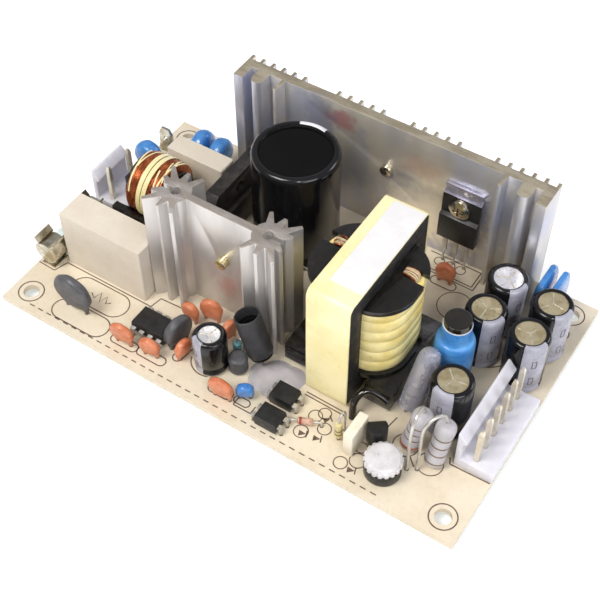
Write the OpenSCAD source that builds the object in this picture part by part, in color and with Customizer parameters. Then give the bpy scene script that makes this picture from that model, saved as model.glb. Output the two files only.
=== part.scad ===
// Open frame power supply: a bare board with its parts standing on it.
// The origin is the centre of the four fixing holes, on the board's underside.
// +X runs along the long front edge to the output end, +Y to the rear heatsink.

/* [Board] */
// Length of the board, along X
board_l = 127; // [126.4:0.2:132]
// Width of the board, along Y
board_w = 76.2; // [76:0.2:80]
// Thickness of the board
board_t = 1.6; // [1:0.1:2.4]
// Distance from each fixing hole's centre to both edges
hole_inset = 5.08; // [4.6:0.02:5.6]
// Diameter of the fixing holes
hole_d = 4; // [3:0.1:4.4]
// Diameter of the wires of the small parts
wire_d = 0.6; // [0.5:0.05:0.8]
// Length of each wire below the board
wire_out = 2; // [1.6:0.1:2.6]
// Gap between a wire and its hole in the board
wire_gap = 0.15; // [0.1:0.05:0.3]
// Height of each solder joint
solder_h = 1.2; // [0.8:0.1:1.5]
// Width of a solder joint beyond its wire, on each side
solder_w = 0.6; // [0.4:0.05:0.65]

/* [Rear heatsink] */
// Length of the rear extrusion
rear_l = 85.6; // [82:0.2:88]
// Height of the rear extrusion
rear_h = 35; // [30:0.5:40]
// Thickness of its plate
rear_plate_t = 2.6; // [2:0.1:3]
// Depth of the end blocks in front of the plate
rear_block = 4.6; // [4:0.1:5]
// Depth of the ribs behind the plate
rib_out = 1.6; // [1:0.1:2]
// Thickness of a rib or of a thin fin
rib_t = 0.9; // [0.6:0.1:1.2]
// Spacing of the ribs
rib_pitch = 3.13; // [2.9:0.01:3.2]
// Width of the screw groove at each end
groove_w = 1.9; // [1.6:0.1:2.1]

/* [Front heatsink] */
// Height of the front extrusion
front_h = 33.8; // [28:0.2:38]
// Distance between its two star columns
column_gap = 25.6; // [25:0.1:26.4]
// Thickness of the plate between the columns
front_plate_t = 2; // [1.6:0.1:2.4]
// Radius of a column's solid middle
column_r = 3.9; // [3.6:0.1:4.2]
// Diameter of the screw bore in a column
column_bore = 2.5; // [2.2:0.1:2.8]
// Width of a fin at its tip
fin_tip = 0.9; // [0.6:0.1:1.1]
// Width of a fin at its root
fin_root = 2.4; // [2:0.1:2.8]

/* [Input side] */
// Diameter of the bulk capacitor
bulk_d = 22; // [20:0.5:23]
// Height of the bulk capacitor
bulk_h = 32; // [25:0.5:35]
// Length, depth and height of the front line capacitor
xcap_size = [24.7, 8.5, 17.6];
// Length, depth and height of the rear line capacitor
xcap2_size = [17.6, 5.6, 13.3];
// Outer diameter of the line choke's coil
coil_d = 16.2; // [15:0.2:16.8]
// Width of one winding section of the line choke
section_w = 4.8; // [4.2:0.1:5]
// Thickness of the choke's flanges
choke_wall = 0.9; // [0.8:0.1:1.1]
// Height of the choke's axis above the board
choke_axis_z = 10.4; // [10.4:0.1:12]
// Height of the bridge rectifier
bridge_h = 17; // [15:0.5:19]
// Length of the bridge rectifier
bridge_l = 22; // [20:0.5:23]
// Thickness of the bridge rectifier
bridge_t = 3.7; // [3.2:0.1:4]

/* [Fuse] */
// Diameter of the fuse's glass
fuse_d = 5; // [4.6:0.1:5.2]
// Length of the fuse
fuse_l = 20; // [19:0.5:20.5]
// Thickness of the fuse's caps and of the clips' sheet
fuse_sheet = 0.4; // [0.3:0.05:0.5]
// Length of each fuse clip
clip_l = 5.5; // [4.5:0.1:6]

/* [Headers] */
// Spacing of the header positions
pin_pitch = 3.96; // [3.9:0.01:4]
// Side of a square header pin
pin_w = 1.14; // [1:0.02:1.2]
// Height of the pins above the board
pin_h = 14.3; // [12:0.1:15]
// Depth of a header's base, across its pins
header_d = 9.5; // [9:0.1:9.8]
// Height of a header's base
header_base = 3.2; // [2.6:0.1:4]
// Height of a header's locking wall
header_wall_h = 12.3; // [11:0.1:13]
// Thickness of the locking wall
header_wall_t = 1.3; // [1:0.1:1.6]
// Reach of the locking ramp over the base
ramp_out = 2.4; // [1.8:0.1:2.7]

/* [Transformer] */
// Length of the taped core, along Y
core_l = 34.6; // [33.6:0.2:35]
// Height of the taped core
core_h = 35.6; // [33:0.2:38]
// Thickness of the core, along X
core_t = 10.8; // [9.6:0.2:12]
// Thickness of the core's outer legs and yokes
core_leg = 5.2; // [4.6:0.1:5.6]
// Thickness of the tape round the core
tape_t = 0.35; // [0.2:0.05:0.5]
// Width of the bobbin's flanges, along X
flange_w = 26; // [24:0.2:26.4]
// Thickness of the bobbin's flanges
flange_t = 1.4; // [1:0.1:1.8]
// Width of the coil, along X
coil_w = 24.4; // [22:0.2:25]

/* [Semiconductors] */
// Width of a power package
pack_w = 10.2; // [9.8:0.1:10.8]
// Height of a power package, with its tab
pack_h = 16.8; // [16:0.1:17.4]
// Thickness of a power package's body
pack_t = 2.9; // [2.5:0.1:3.2]
// Diameter of a screw's pan head
screw_head_d = 5.5; // [5:0.1:6]
// Diameter of a screw's thread
screw_d = 3; // [2.8:0.1:3.2]

/* [Output side] */
// Diameter of the output capacitors
out_cap_d = 10; // [9:0.1:10.2]
// Height of the output capacitors
out_cap_h = 17; // [14:0.5:20]
// Thickness of the capacitors' sleeves
sleeve_t = 0.25; // [0.15:0.05:0.35]
// Diameter of the output choke's rod
rod_d = 7; // [6:0.1:7.6]
// Diameter of the output choke over its winding
choke_d = 9.6; // [9:0.1:9.8]
// Height of the output choke's rod
rod_h = 21.6; // [18:0.1:24]
// Diameter of the two power resistors
resistor_d = 4.8; // [4:0.1:5.2]
// Length of the two power resistors
resistor_l = 13.6; // [12:0.1:15]

/* [Trimmer] */
// Diameter of the trimmer's base
trimmer_d = 8.6; // [8:0.1:9]
// Diameter of the trimmer's rotor
rotor_d = 8.1; // [7:0.1:8.2]
// Diameter of the rotor's stub shaft
rotor_shaft_d = 3; // [2.4:0.1:3.6]
// Running gap round the stub shaft
rotor_gap = 0.06; // [0.04:0.01:0.1]
// Gap under the rotor
rotor_lift = 0.3; // [0.2:0.05:0.4]

/* [Hidden] */
$fn = 40;
fine_fn = 72;

// Places on the board. Input parts keep their distance from the -X edge and output parts
// theirs from the +X edge; front parts keep theirs from the -Y edge.
input_x = -board_l / 2;
output_x = board_l / 2;
front_y = -board_w / 2;
rear_x = 4.45;
front_at = [-14, -10.35];
bulk_at = [-12, 17.4];
xcap_at = [input_x + 18.85, -15.95];
xcap2_at = [input_x + 20.3, 19.2];
choke_at = [input_x + 17, 6];
bridge_at = [-29.4, 15];
fuse_at = [input_x + 3.1, -14];
mains_y = 5.5;
output_y = -8.2;
tab_at = [input_x + 3.4, 26];
thermistor_at = [input_x + 18.4, front_y + 7.1];
control_at = [-24.6, front_y + 11.8];
varistor_at = [-17.6, front_y + 12.1];
trafo_at = [20.8, -3.5];
rectifier_x = 26;
switch_x = -13.6;
out_cap_at = [[output_x - 18.9, 21.3], [output_x - 19, 10.4], [output_x - 6.8, 19.9],
              [output_x - 7.5, 9.3], [output_x - 16, -11.5]];
rod_at = [output_x - 21.7, 0.8];
trimmer_at = [output_x - 21.9, front_y + 7.9];
small_can_at = [-7.3, front_y + 11.4];
drum_at = [-1.1, front_y + 13.5];
sleeved_at = [2.7, -20.2];
film_at = [output_x - 30.7, front_y + 10.7];
to92_at = [output_x - 26.7, front_y + 13.4];
opto_at = [[13.3, front_y + 11.7], [13.7, front_y + 4.9]];
// Orange discs: place, turn about Z, diameter and lean.
discs = [[[-28.7, front_y + 5], 4, 6.4, 8], [[-21, front_y + 5.5], 8, 5.4, 6],
         [[0.4, front_y + 4.8], 4, 6.6, 8], [[-14.3, front_y + 9.5], 82, 5, 6],
         [[-15, -15.9], 8, 6, 0], [[-19.2, -18.8], -6, 5, 0],
         [[-8, -18.4], 84, 5.2, 0], [[27, 25.6], 0, 5.4, 0]];
disc_t = 2.2;
thermistor_d = 9.9;
varistor_d = 8.2;
// Blue discs: place, turn about Z, diameter, thickness and lean.
blue_discs = [[[input_x + 13.6, 28.8], 90, 8.4, 4.5, 0], [[input_x + 19.6, 28.8], 90, 8.4, 4.5, 0],
              [[input_x + 3.2, 18.2], 0, 7.8, 3.6, 0], [[4.9, front_y + 7.7], 30, 4.2, 2.4, 12]];
// Blue dipped film capacitors: place and size.
blue_slabs = [[[output_x - 12.9, 31.9], [2.5, 11.6, 10.4]], [[output_x - 9.5, 32.2], [2.3, 9.6, 10.4]]];
// Power resistors: foot of the body, foot of the far wire, lean along Y and lean along X.
resistors = [[[output_x - 20.2, front_y + 16.5], [output_x - 17.6, front_y + 11.2], 5, 10],
             [[output_x - 13.3, front_y + 15.5], [output_x - 15.6, front_y + 12.4], 11, 4]];
// Small standing resistors: body, far wire, length and diameter.
axials = [[[-4.1, -20.6], [-2.3, -20.4], 3, 2.2], [[29, front_y + 9.7], [29, front_y + 12.5], 5.4, 1.9],
          [[-1.4, 1.2], [3.2, 1.2], 9, 3.4]];
// Glass diodes lying on the board: place and turn about Z.
diodes = [[[20.6, front_y + 8.9], 24]];
silicone = [[7.5, -21.3, 3.2, 2.4], [11, -20.2, 2.4, 1.8], [5.9, -24, 2, 1.4]];

// Two points either side of a place, along a turn about Z.
function pair(place, pitch, turn = 0) =
    [for (s = [-1, 1]) place + s * pitch / 2 * [cos(turn), sin(turn)]];
// A row of points along X or Y, centred on a place.
function row(place, pitch, count, along) =
    [for (i = [0:count - 1]) place + (i - (count - 1) / 2) * pitch * along];
function flat(lists) = [for (list = lists) each list];

// Edges and planes that several pieces share.
rear_tip_y = board_w / 2;
rear_back_y = rear_tip_y - rib_out;
rear_face_y = rear_back_y - rear_plate_t;
front_face_y = front_at[1] + front_plate_t / 2;
output_wall_x = board_l / 2 - header_d;
mains_wall_x = -board_l / 2 - 0.3;
pin_in = 4.45;
choke_half = section_w + 1.5 * choke_wall;
core_foot = 0.4;
core_top = core_foot + core_h;
window_low = core_foot + tape_t + core_leg;
window_high = core_top - tape_t - core_leg;
window_half = core_l / 2 - tape_t - core_leg;
trafo_rail_x = 10.9;
pack_foot = 9.2;
switch_foot = 7;
screw_z = pack_foot + 11.3;
switch_screw_z = switch_foot + 11.3;
spare_x = 4.3;

// Where the wires and pins go through the board.
bulk_wires = pair(bulk_at, 10);
xcap_wires = pair(xcap_at, 22.5);
xcap2_wires = pair(xcap2_at, 15);
clip_y = [for (s = [-1, 1]) fuse_at[1] + s * (fuse_l - clip_l) / 2];
clip_wires = flat([for (y = clip_y) pair([fuse_at[0], y], 3.4, 90)]);
mains_pins_at = pair([mains_wall_x + pin_in, mains_y], 2 * pin_pitch, 90);
output_pins_at = row([output_wall_x + pin_in, output_y], pin_pitch, 6, [0, 1]);
choke_wires = flat([for (s = [-1, 1]) pair(choke_at + [0, s * 7.4], 10)]);
tab_wires = pair(tab_at, 3.2);
bridge_wires = row(bridge_at, 5.08, 4, [0, 1]);
thermistor_wires = pair(thermistor_at, 0.6 * thermistor_d);
control_wires = flat([for (s = [-1, 1]) row(control_at + [0, s * 3.81], 2.54, 4, [1, 0])]);
varistor_wires = pair(varistor_at, 0.6 * varistor_d, 80);
trafo_pins_at = flat([for (s = [-1, 1]) row(trafo_at + [s * trafo_rail_x, 0], 5, 5, [0, 1])]);
rectifier_wires = row([rectifier_x, rear_face_y - 1.8], 3, 3, [1, 0]);
switch_wires = row([switch_x, front_face_y + 1.8], 2.54, 3, [1, 0]);
out_cap_wires = flat([for (c = out_cap_at) pair(c, 5)]);
rod_wires = pair(rod_at, 5, 90);
resistor_wires = flat([for (r = resistors) [r[0], r[1]]]);
snubber_at = [output_x - 25.4, -13.5];
snubber_wires = [snubber_at, snubber_at + [2.2, 0.9]];
trimmer_wires = [for (a = [90, 210, 330]) trimmer_at + 3.2 * [cos(a), sin(a)]];
film_wires = pair(film_at, 5, 90);
to92_wires = row(to92_at, 1.6, 3, [0.8, 0.6]);
opto_wires = flat([for (c = opto_at) flat([for (s = [-1, 1]) pair(c + [s * 3.81, 0], 2.54, 90)])]);
disc_wires = flat([for (d = discs) pair(d[0], d[2] * 0.6, d[1])]);
blue_wires = flat([for (d = blue_discs) pair(d[0], d[2] * 0.6, d[1])]);
can_wires = pair(small_can_at, 3.5, 90);
drum_wires = pair(drum_at, 2.6);
diode_wires = flat([for (d = diodes) pair(d[0], 7.6, d[1])]);
slab_wires = flat([for (b = blue_slabs) pair(b[0], 5, 90)]);
sleeved_wires = pair(sleeved_at + [-0.3, 0], 2.4);
axial_wires = flat([for (a = axials) [a[0], a[1]]]);
front_pins_at = pair(front_at, column_gap);
rear_pins_at = [for (s = [-1, 1]) [rear_x + s * (rear_l / 2 - 6.2), rear_face_y - 2.6]];

thin_wires = concat(xcap_wires, xcap2_wires, clip_wires, bridge_wires, control_wires,
                    varistor_wires, rectifier_wires, switch_wires, out_cap_wires, rod_wires,
                    snubber_wires, trimmer_wires, film_wires, to92_wires, opto_wires, disc_wires,
                    blue_wires, can_wires, drum_wires, diode_wires, slab_wires, sleeved_wires,
                    axial_wires, trafo_pins_at);
mid_wires = concat(choke_wires, tab_wires, thermistor_wires, resistor_wires);
stout_wires = concat(bulk_wires, mains_pins_at, output_pins_at, front_pins_at, rear_pins_at);
mid_d = 0.8;
stout_d = 1.7;

// ---- Helpers ----

module on_board(place = [0, 0], z = 0, turn = 0)
    translate([place[0], place[1], board_t + z]) rotate([0, 0, turn]) children();

// A wire from below the board up to a height over it.
module wires(places, top = 1, d = wire_d)
    for (p = places)
        translate([p[0], p[1], -wire_out]) cylinder(d = d, h = wire_out + board_t + top);

// A rectangle with true round corners, centred.
module round_rect(size, r)
    union() {
        square([size[0], size[1] - 2 * r], center = true);
        square([size[0] - 2 * r, size[1]], center = true);
        for (x = [-1, 1], y = [-1, 1])
            translate([x * (size[0] / 2 - r), y * (size[1] / 2 - r)]) circle(r = r);
    }

// A box whose edges are all rounded, standing on z = 0.
module soft_box(size, r)
    translate([0, 0, size[2] / 2])
        intersection() {
            linear_extrude(size[2] + 1, center = true) round_rect([size[0], size[1]], r);
            rotate([90, 0, 0])
                linear_extrude(size[1] + 1, center = true) round_rect([size[0], size[2]], r);
        }

// A disc on edge with a round rim, its faces along Y.
module pill(d, t)
    rotate([90, 0, 0]) rotate_extrude()
        union() {
            translate([0, -t / 2]) square([d / 2 - t / 2, t]);
            intersection() {
                translate([d / 2 - t / 2, 0]) circle(d = t);
                translate([0, -t]) square([d, 2 * t]);
            }
        }

// A square post with tapered ends, from a height to another.
module post(low, high, w)
    intersection() {
        rotate([90, 0, 0]) linear_extrude(w, center = true) post_outline(low, high, w);
        rotate([90, 0, 90]) linear_extrude(w, center = true) post_outline(low, high, w);
    }
module post_outline(low, high, w)
    polygon([[-w / 4, low], [w / 4, low], [w / 2, low + w], [w / 2, high - w], [w / 4, high],
             [-w / 4, high], [-w / 2, high - w], [-w / 2, low + w]]);

// ---- Board ----

module circuit_board() color([0.91, 0.86, 0.78])
    difference() {
        translate([-board_l / 2, -board_w / 2, 0]) cube([board_l, board_w, board_t]);
        for (x = [-1, 1], y = [-1, 1])
            translate([x * (board_l / 2 - hole_inset), y * (board_w / 2 - hole_inset), -1])
                cylinder(d = hole_d, h = board_t + 2, $fn = fine_fn);
        board_holes(thin_wires, wire_d);
        board_holes(mid_wires, mid_d);
        board_holes(stout_wires, stout_d);
    }
module board_holes(places, d)
    for (p = places)
        translate([p[0], p[1], -1]) cylinder(d = d + 2 * wire_gap, h = board_t + 2, $fn = 24);

module solder_joints() color([0.75, 0.76, 0.78]) {
    solder(thin_wires, wire_d);
    solder(mid_wires, mid_d);
    solder(stout_wires, stout_d);
}
module solder(places, d)
    for (p = places)
        translate([p[0], p[1], 0])
            rotate_extrude($fn = 24)
                polygon([[d / 2 + 0.02, 0], [d / 2 + solder_w, 0],
                         [d / 2 + solder_w * 0.45, -solder_h * 0.4],
                         [d / 2 + 0.12, -solder_h], [d / 2 + 0.02, -solder_h]]);

// ---- Heatsinks ----

// Right half of the ribbed rear extrusion, seen from above, with y = 0 on the rib tips.
module rear_half() {
    face = -rib_out - rear_plate_t;
    end = rear_l / 2;
    block_w = 2.7;
    lobe_r = 1.65;
    lobe_x = end - block_w - groove_w - lobe_r;
    translate([0, face]) square([end, rear_plate_t]);
    translate([end - block_w, face - rear_block]) square([block_w, rear_block + 1]);
    translate([lobe_x, face - rear_block + lobe_r]) circle(r = lobe_r);
    translate([lobe_x - lobe_r, face - rear_block + lobe_r])
        square([2 * lobe_r, rear_block - lobe_r + 1]);
    translate([end - 12.45, face - rear_block + 0.5]) square([rib_t, rear_block]);
    for (i = [0:5])
        translate([end - rib_t - i * rib_pitch, -rib_out - 1]) square([rib_t, rib_out + 1]);
    for (i = [0:4])
        translate([3.7 + i * rib_pitch, -rib_out - 1]) square([rib_t, rib_out + 1]);
}
module rear_heatsink() color([0.75, 0.75, 0.77])
    difference() {
        on_board([rear_x, rear_tip_y])
            linear_extrude(rear_h)
                union() {
                    rear_half();
                    mirror([1, 0]) rear_half();
                }
        for (p = rear_pins_at) on_board(p, -1) cylinder(d = stout_d, h = 7);
        for (x = [rectifier_x, spare_x])
            on_board([x, rear_face_y - 1], screw_z)
                rotate([-90, 0, 0]) cylinder(d = screw_d, h = rear_plate_t + 1.6);
    }

// One star column of the front extrusion, its screw slot opening along +X.
star_fins = [[118, 7.2], [84, 6.3], [50, 8], [27, 5.6]];
module star_column()
    difference() {
        union() {
            circle(r = column_r);
            for (f = star_fins, s = [-1, 1])
                rotate(s * f[0])
                    polygon([[column_r - 2, -fin_root / 2], [f[1], -fin_tip / 2],
                             [f[1], fin_tip / 2], [column_r - 2, fin_root / 2]]);
        }
        circle(d = column_bore);
        translate([0, -0.5]) square([8, 1]);
    }
module front_heatsink() color([0.8, 0.79, 0.8])
    difference() {
        on_board(front_at)
            linear_extrude(front_h)
                union() {
                    translate([column_gap / 2, 0]) star_column();
                    translate([-column_gap / 2, 0]) mirror([1, 0]) star_column();
                    translate([-column_gap / 2 + column_r - 1, -front_plate_t / 2])
                        square([column_gap - 2 * column_r + 2, front_plate_t]);
                }
        on_board([switch_x, front_at[1] + 2], switch_screw_z)
            rotate([90, 0, 0]) cylinder(d = screw_d, h = 4);
    }

// Solder pins pressed into the foot of each heatsink.
module heatsink_pins() color([0.8, 0.8, 0.78]) {
    for (p = front_pins_at)
        on_board(p, -board_t - wire_out) {
            cylinder(d = stout_d, h = wire_out + board_t);
            translate([0, 0, wire_out + board_t]) cylinder(d = column_bore, h = 6);
        }
    for (p = rear_pins_at)
        on_board(p, -board_t - wire_out) cylinder(d = stout_d, h = wire_out + board_t + 6);
}

// A pan head screw with a cross recess, its head facing -Y at y = 0.
module pan_screw(shank)
    difference() {
        union() {
            rotate([90, 0, 0]) rotate_extrude()
                intersection() {
                    translate([0, -screw_head_d * 0.62]) circle(d = screw_head_d * 1.95);
                    square([screw_head_d / 2, 2.1]);
                }
            rotate([-90, 0, 0]) cylinder(d = screw_d, h = shank);
        }
        for (a = [0, 90])
            rotate([0, a, 0]) translate([-1.5, -3, -0.3]) cube([3, 1.9, 0.6]);
    }
module heatsink_screws() color([0.82, 0.8, 0.76]) {
    on_board([spare_x, rear_back_y], screw_z)
        rotate([90, 0, 0]) {
            translate([0, 0, -rib_out + 0.2]) cylinder(d = screw_head_d, h = rib_out - 0.2);
            cylinder(d = screw_d, h = rear_plate_t + 1.2);
        }
    on_board([rectifier_x, rear_face_y - pack_t + 1], screw_z) pan_screw(rear_plate_t + 2.6);
    on_board([switch_x, front_face_y + pack_t - 1], switch_screw_z)
        mirror([0, 1, 0]) pan_screw(front_plate_t + pack_t - 1 + 1.6);
}

// ---- Power packages ----

tab_t = 1.1;
// A three-lead power package standing with its back on y = 0, facing -Y.
module power_package() {
    difference() {
        union() {
            rotate([90, 0, 90]) linear_extrude(pack_w, center = true)
                polygon([[0, 0], [-pack_t, 0], [-pack_t, 7.6], [-pack_t + 1, 8.2],
                         [-pack_t + 1, pack_h - 2.6], [-tab_t, pack_h - 2.6], [-tab_t, pack_h],
                         [0, pack_h]]);
        }
        translate([0, 1, screw_z - pack_foot]) rotate([90, 0, 0]) cylinder(d = screw_d, h = 8);
        for (s = [-1, 1])
            translate([s * pack_w / 2, 1, pack_h - 1.4])
                rotate([90, 0, 0]) cylinder(r = 0.7, h = 8);
    }
}
// Flat leads from a package's underside at the given places.
module package_leads(places, foot)
    for (p = places) {
        on_board(p, -board_t - wire_out) cylinder(d = wire_d, h = wire_out + board_t + 4.4);
        on_board(p, 3.6) translate([-0.6, -0.3, 0]) cube([1.2, 0.6, foot - 3.6]);
    }
module output_rectifier() color([0.12, 0.12, 0.13]) {
    on_board([rectifier_x, rear_face_y], pack_foot) power_package();
    package_leads(rectifier_wires, pack_foot);
}
module switch_transistor() color([0.12, 0.12, 0.13]) {
    on_board([switch_x, front_face_y], switch_foot) rotate([0, 0, 180]) power_package();
    package_leads(switch_wires, switch_foot);
}
module bridge_rectifier() color([0.17, 0.15, 0.15]) {
    on_board(bridge_at, 1.2)
        difference() {
            union() {
                translate([-bridge_t / 2, -bridge_l / 2, 0])
                    cube([bridge_t, bridge_l, bridge_h - 1.2]);
                translate([-bridge_t / 2, -bridge_l / 2, 0]) cube([bridge_t + 1.1, bridge_l, 8]);
            }
            translate([-bridge_t, -bridge_l / 2, bridge_h - 1.2])
                rotate([45, 0, 0]) cube([4 * bridge_t, 3, 3], center = true);
            translate([-bridge_t, 0, 12]) rotate([0, 90, 0]) cylinder(d = 3.2, h = 3 * bridge_t);
        }
    wires(bridge_wires, 1.7, 0.8 * wire_d + 0.1);
}

// ---- Input side ----

module bulk_capacitor() color([0.08, 0.08, 0.09]) {
    r = bulk_d / 2;
    on_board(bulk_at)
        rotate_extrude($fn = fine_fn)
            polygon([[0, 0.3], [r - 2, 0.3], [r - 1.4, 0], [r - 0.5, 0], [r, 0.6], [r, bulk_h - 1],
                     [r - 0.4, bulk_h - 0.25], [r - 1, bulk_h], [r - 1.8, bulk_h],
                     [r - 2.1, bulk_h - 0.7], [0, bulk_h - 0.7]]);
    wires(bulk_wires, 1, 1.4);
}
module front_line_capacitor() color([0.84, 0.8, 0.74]) {
    on_board(xcap_at) soft_box(xcap_size, 0.5);
    wires(xcap_wires);
}
module rear_line_capacitor() color([0.84, 0.8, 0.74]) {
    on_board(xcap2_at) soft_box(xcap2_size, 0.5);
    wires(xcap2_wires);
}

// Outline of a sprung clip round the fuse, seen along Y.
fuse_axis_z = 4.6;
clip_r = fuse_d / 2 + fuse_sheet;
module clip_outline() {
    difference() {
        union() {
            difference() {
                circle(r = clip_r + fuse_sheet);
                circle(r = clip_r);
                translate([-1.7, 0]) square([3.4, 2 * clip_r]);
            }
            for (s = [-1, 1])
                translate([s * 1.9, 2.55]) rotate(-s * 38)
                    translate([-fuse_sheet / 2, 0]) square([fuse_sheet, 1.9]);
        }
        circle(r = clip_r);
    }
    translate([-2, -fuse_axis_z]) square([4, fuse_sheet]);
    translate([-0.9, -fuse_axis_z]) square([1.8, fuse_axis_z - clip_r]);
}
module fuse_clips() color([0.72, 0.7, 0.64]) {
    for (y = clip_y)
        on_board([fuse_at[0], y], fuse_axis_z)
            rotate([90, 0, 0]) linear_extrude(clip_l, center = true) clip_outline();
    wires(clip_wires, 0.2);
}
module fuse_tube() color([0.8, 0.85, 0.86, 0.5])
    on_board(fuse_at, fuse_axis_z)
        rotate([90, 0, 0])
            difference() {
                cylinder(d = fuse_d, h = fuse_l - 2 * fuse_sheet, center = true);
                cylinder(d = fuse_d - 1.4, h = fuse_l, center = true);
            }
module fuse_caps() color([0.76, 0.76, 0.74])
    on_board(fuse_at, fuse_axis_z)
        for (s = [0, 180])
            rotate([90, 0, s])
                translate([0, 0, fuse_l / 2 - 5])
                    difference() {
                        cylinder(r = clip_r, h = 5);
                        translate([0, 0, -1]) cylinder(d = fuse_d, h = 6 - fuse_sheet);
                    }
module fuse_element() color([0.75, 0.72, 0.66])
    on_board(fuse_at, fuse_axis_z)
        rotate([90, 0, 0]) cylinder(d = 0.25, h = fuse_l - 2 * fuse_sheet, center = true);

// A header: base, locking wall and its ramp, with the wall on the -X side.
module header(length, pins, place) {
    ramp_z = header_wall_h - ramp_out - 0.4;
    difference() {
        on_board(place)
            rotate([90, 0, 0]) linear_extrude(length, center = true)
                polygon([[0, 0], [header_d, 0], [header_d, header_base],
                         [header_wall_t, header_base], [header_wall_t, ramp_z - 0.8],
                         [ramp_out, ramp_z], [ramp_out, ramp_z + 0.5],
                         [0.5, header_wall_h], [0, header_wall_h]]);
        for (p = pins)
            on_board(p, -1) translate([-pin_w / 2, -pin_w / 2, 0])
                cube([pin_w, pin_w, header_base + 2]);
    }
}
module header_pins(places)
    for (p = places) on_board(p) post(-board_t - wire_out, pin_h, pin_w);
module output_header() color([0.89, 0.87, 0.87])
    header(6 * pin_pitch + 0.3, output_pins_at, [output_wall_x, output_y]);
module output_pins() color([0.8, 0.78, 0.72]) header_pins(output_pins_at);
module mains_header() color([0.89, 0.87, 0.87])
    header(3 * pin_pitch + 0.3, mains_pins_at, [mains_wall_x, mains_y]);
module mains_pins() color([0.8, 0.78, 0.72]) header_pins(mains_pins_at);

// Line choke: a two-section bobbin on a closed core that stands upright.
choke_tube_r = 3.6;
module along_choke() on_board(choke_at, choke_axis_z) rotate([0, 90, 0]) children();
module choke_bobbin() color([0.09, 0.08, 0.08]) {
    along_choke()
        difference() {
            union() {
                cylinder(r = choke_tube_r, h = 2 * choke_half, center = true);
                for (x = [-choke_half + choke_wall / 2, 0, choke_half - choke_wall / 2])
                    translate([0, 0, x])
                        cylinder(d = coil_d - (x == 0 ? 1.6 : 1), h = choke_wall, center = true);
            }
            cube([4.4, 4.4, 4 * choke_half], center = true);
        }
    on_board(choke_at)
        difference() {
            union() {
                translate([-choke_half, -8.6, 0]) cube([2 * choke_half, 17.4, 3]);
                translate([-choke_half - 3.2, -8.9, 0]) cube([2 * choke_half + 3.2, 2, 6]);
                for (s = [-1, 1])
                    translate([s * (choke_half - choke_wall / 2) - choke_wall / 2, -6, 0])
                        cube([choke_wall, 12, 6]);
            }
            translate([-choke_half - 1, -2.2, -1]) cube([2 * choke_half + 2, 4.4, 3.3]);
            translate([0, 0, choke_axis_z]) rotate([0, 90, 0])
                cylinder(d = coil_d + 1.1, h = 2 * choke_half - 2 * choke_wall, center = true);
        }
    wires(choke_wires, 0.8, mid_d);
}
choke_leg = 1.3;
module choke_core() color([0.1, 0.1, 0.1])
    on_board(choke_at, choke_axis_z) {
        translate([-choke_half - 1, -2, -2]) cube([2 * choke_half + 2, 4, 4]);
        for (s = [-1, 1])
            translate([s * (choke_half + 0.1 + choke_leg / 2) - choke_leg / 2, -4.5,
                       -choke_axis_z + 0.3])
                cube([choke_leg, 9, choke_axis_z + 3]);
        translate([-choke_half - 1, -2, -choke_axis_z + 0.3]) cube([2 * choke_half + 2, 4, 1.8]);
    }
module choke_windings() color([0.66, 0.39, 0.24])
    along_choke()
        for (s = [-1, 1])
            translate([0, 0, s * (choke_half - choke_wall - section_w / 2)])
                rotate_extrude($fn = fine_fn)
                    translate([(coil_d / 2 + choke_tube_r) / 2, 0])
                        square([coil_d / 2 - choke_tube_r, section_w - 1.2], center = true);
module choke_tape() color([0.96, 0.93, 0.76])
    along_choke() {
        difference() {
            cylinder(d = coil_d + 0.9, h = 3, center = true, $fn = fine_fn);
            cylinder(d = coil_d + 0.04, h = 4, center = true, $fn = fine_fn);
            translate([coil_d / 2 - 1.4, -20, -5]) cube([10, 40, 10]);
        }
    }
module ground_tab() color([0.65, 0.64, 0.63]) {
    on_board(tab_at)
        difference() {
            rotate([90, 0, 0]) linear_extrude(0.8, center = true)
                union() {
                    translate([-2.5, 0]) square([5, 2]);
                    translate([-2.1, 1]) square([4.2, 5.6]);
                    polygon([[-2.1, 6.6], [2.1, 6.6], [1.2, 8.4], [-1.2, 8.4]]);
                }
            translate([0, 2, 5]) rotate([90, 0, 0]) cylinder(d = 1.4, h = 4);
        }
    wires(tab_wires, 0.3, mid_d);
}
// A coated disc on its two wires, leaning back about its foot.
module disc_part(place, turn, d, t, lean, wire = wire_d) {
    on_board(place, 1.2 + d / 2, turn)
        translate([0, 0, -d / 2]) rotate([lean, 0, 0])
            translate([0, 0, d / 2]) rotate([0, 0, 180]) pill(d, t);
    wires(pair(place, d * 0.6, turn), 1.2 + d * 0.16, wire);
}
module inrush_thermistor() color([0.26, 0.25, 0.27])
    disc_part(thermistor_at, 0, thermistor_d, 3.8, 4, mid_d);
module varistor() color([0.25, 0.24, 0.2])
    disc_part(varistor_at, 80, varistor_d, 3, 4);
module ceramic_discs() color([0.8, 0.48, 0.32])
    for (d = discs) disc_part(d[0], d[1], d[2], disc_t, d[3]);
module blue_capacitors() color([0.4, 0.62, 0.85])
    union() {
        for (d = blue_discs) disc_part(d[0], d[1], d[2], d[3], d[4]);
        for (b = blue_slabs) on_board(b[0], 0.8) soft_box(b[1], b[1][0] * 0.4);
        wires(slab_wires, 1.4);
    }

// ---- Transformer ----

module on_trafo(z = 0) on_board(trafo_at, z) children();
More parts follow.
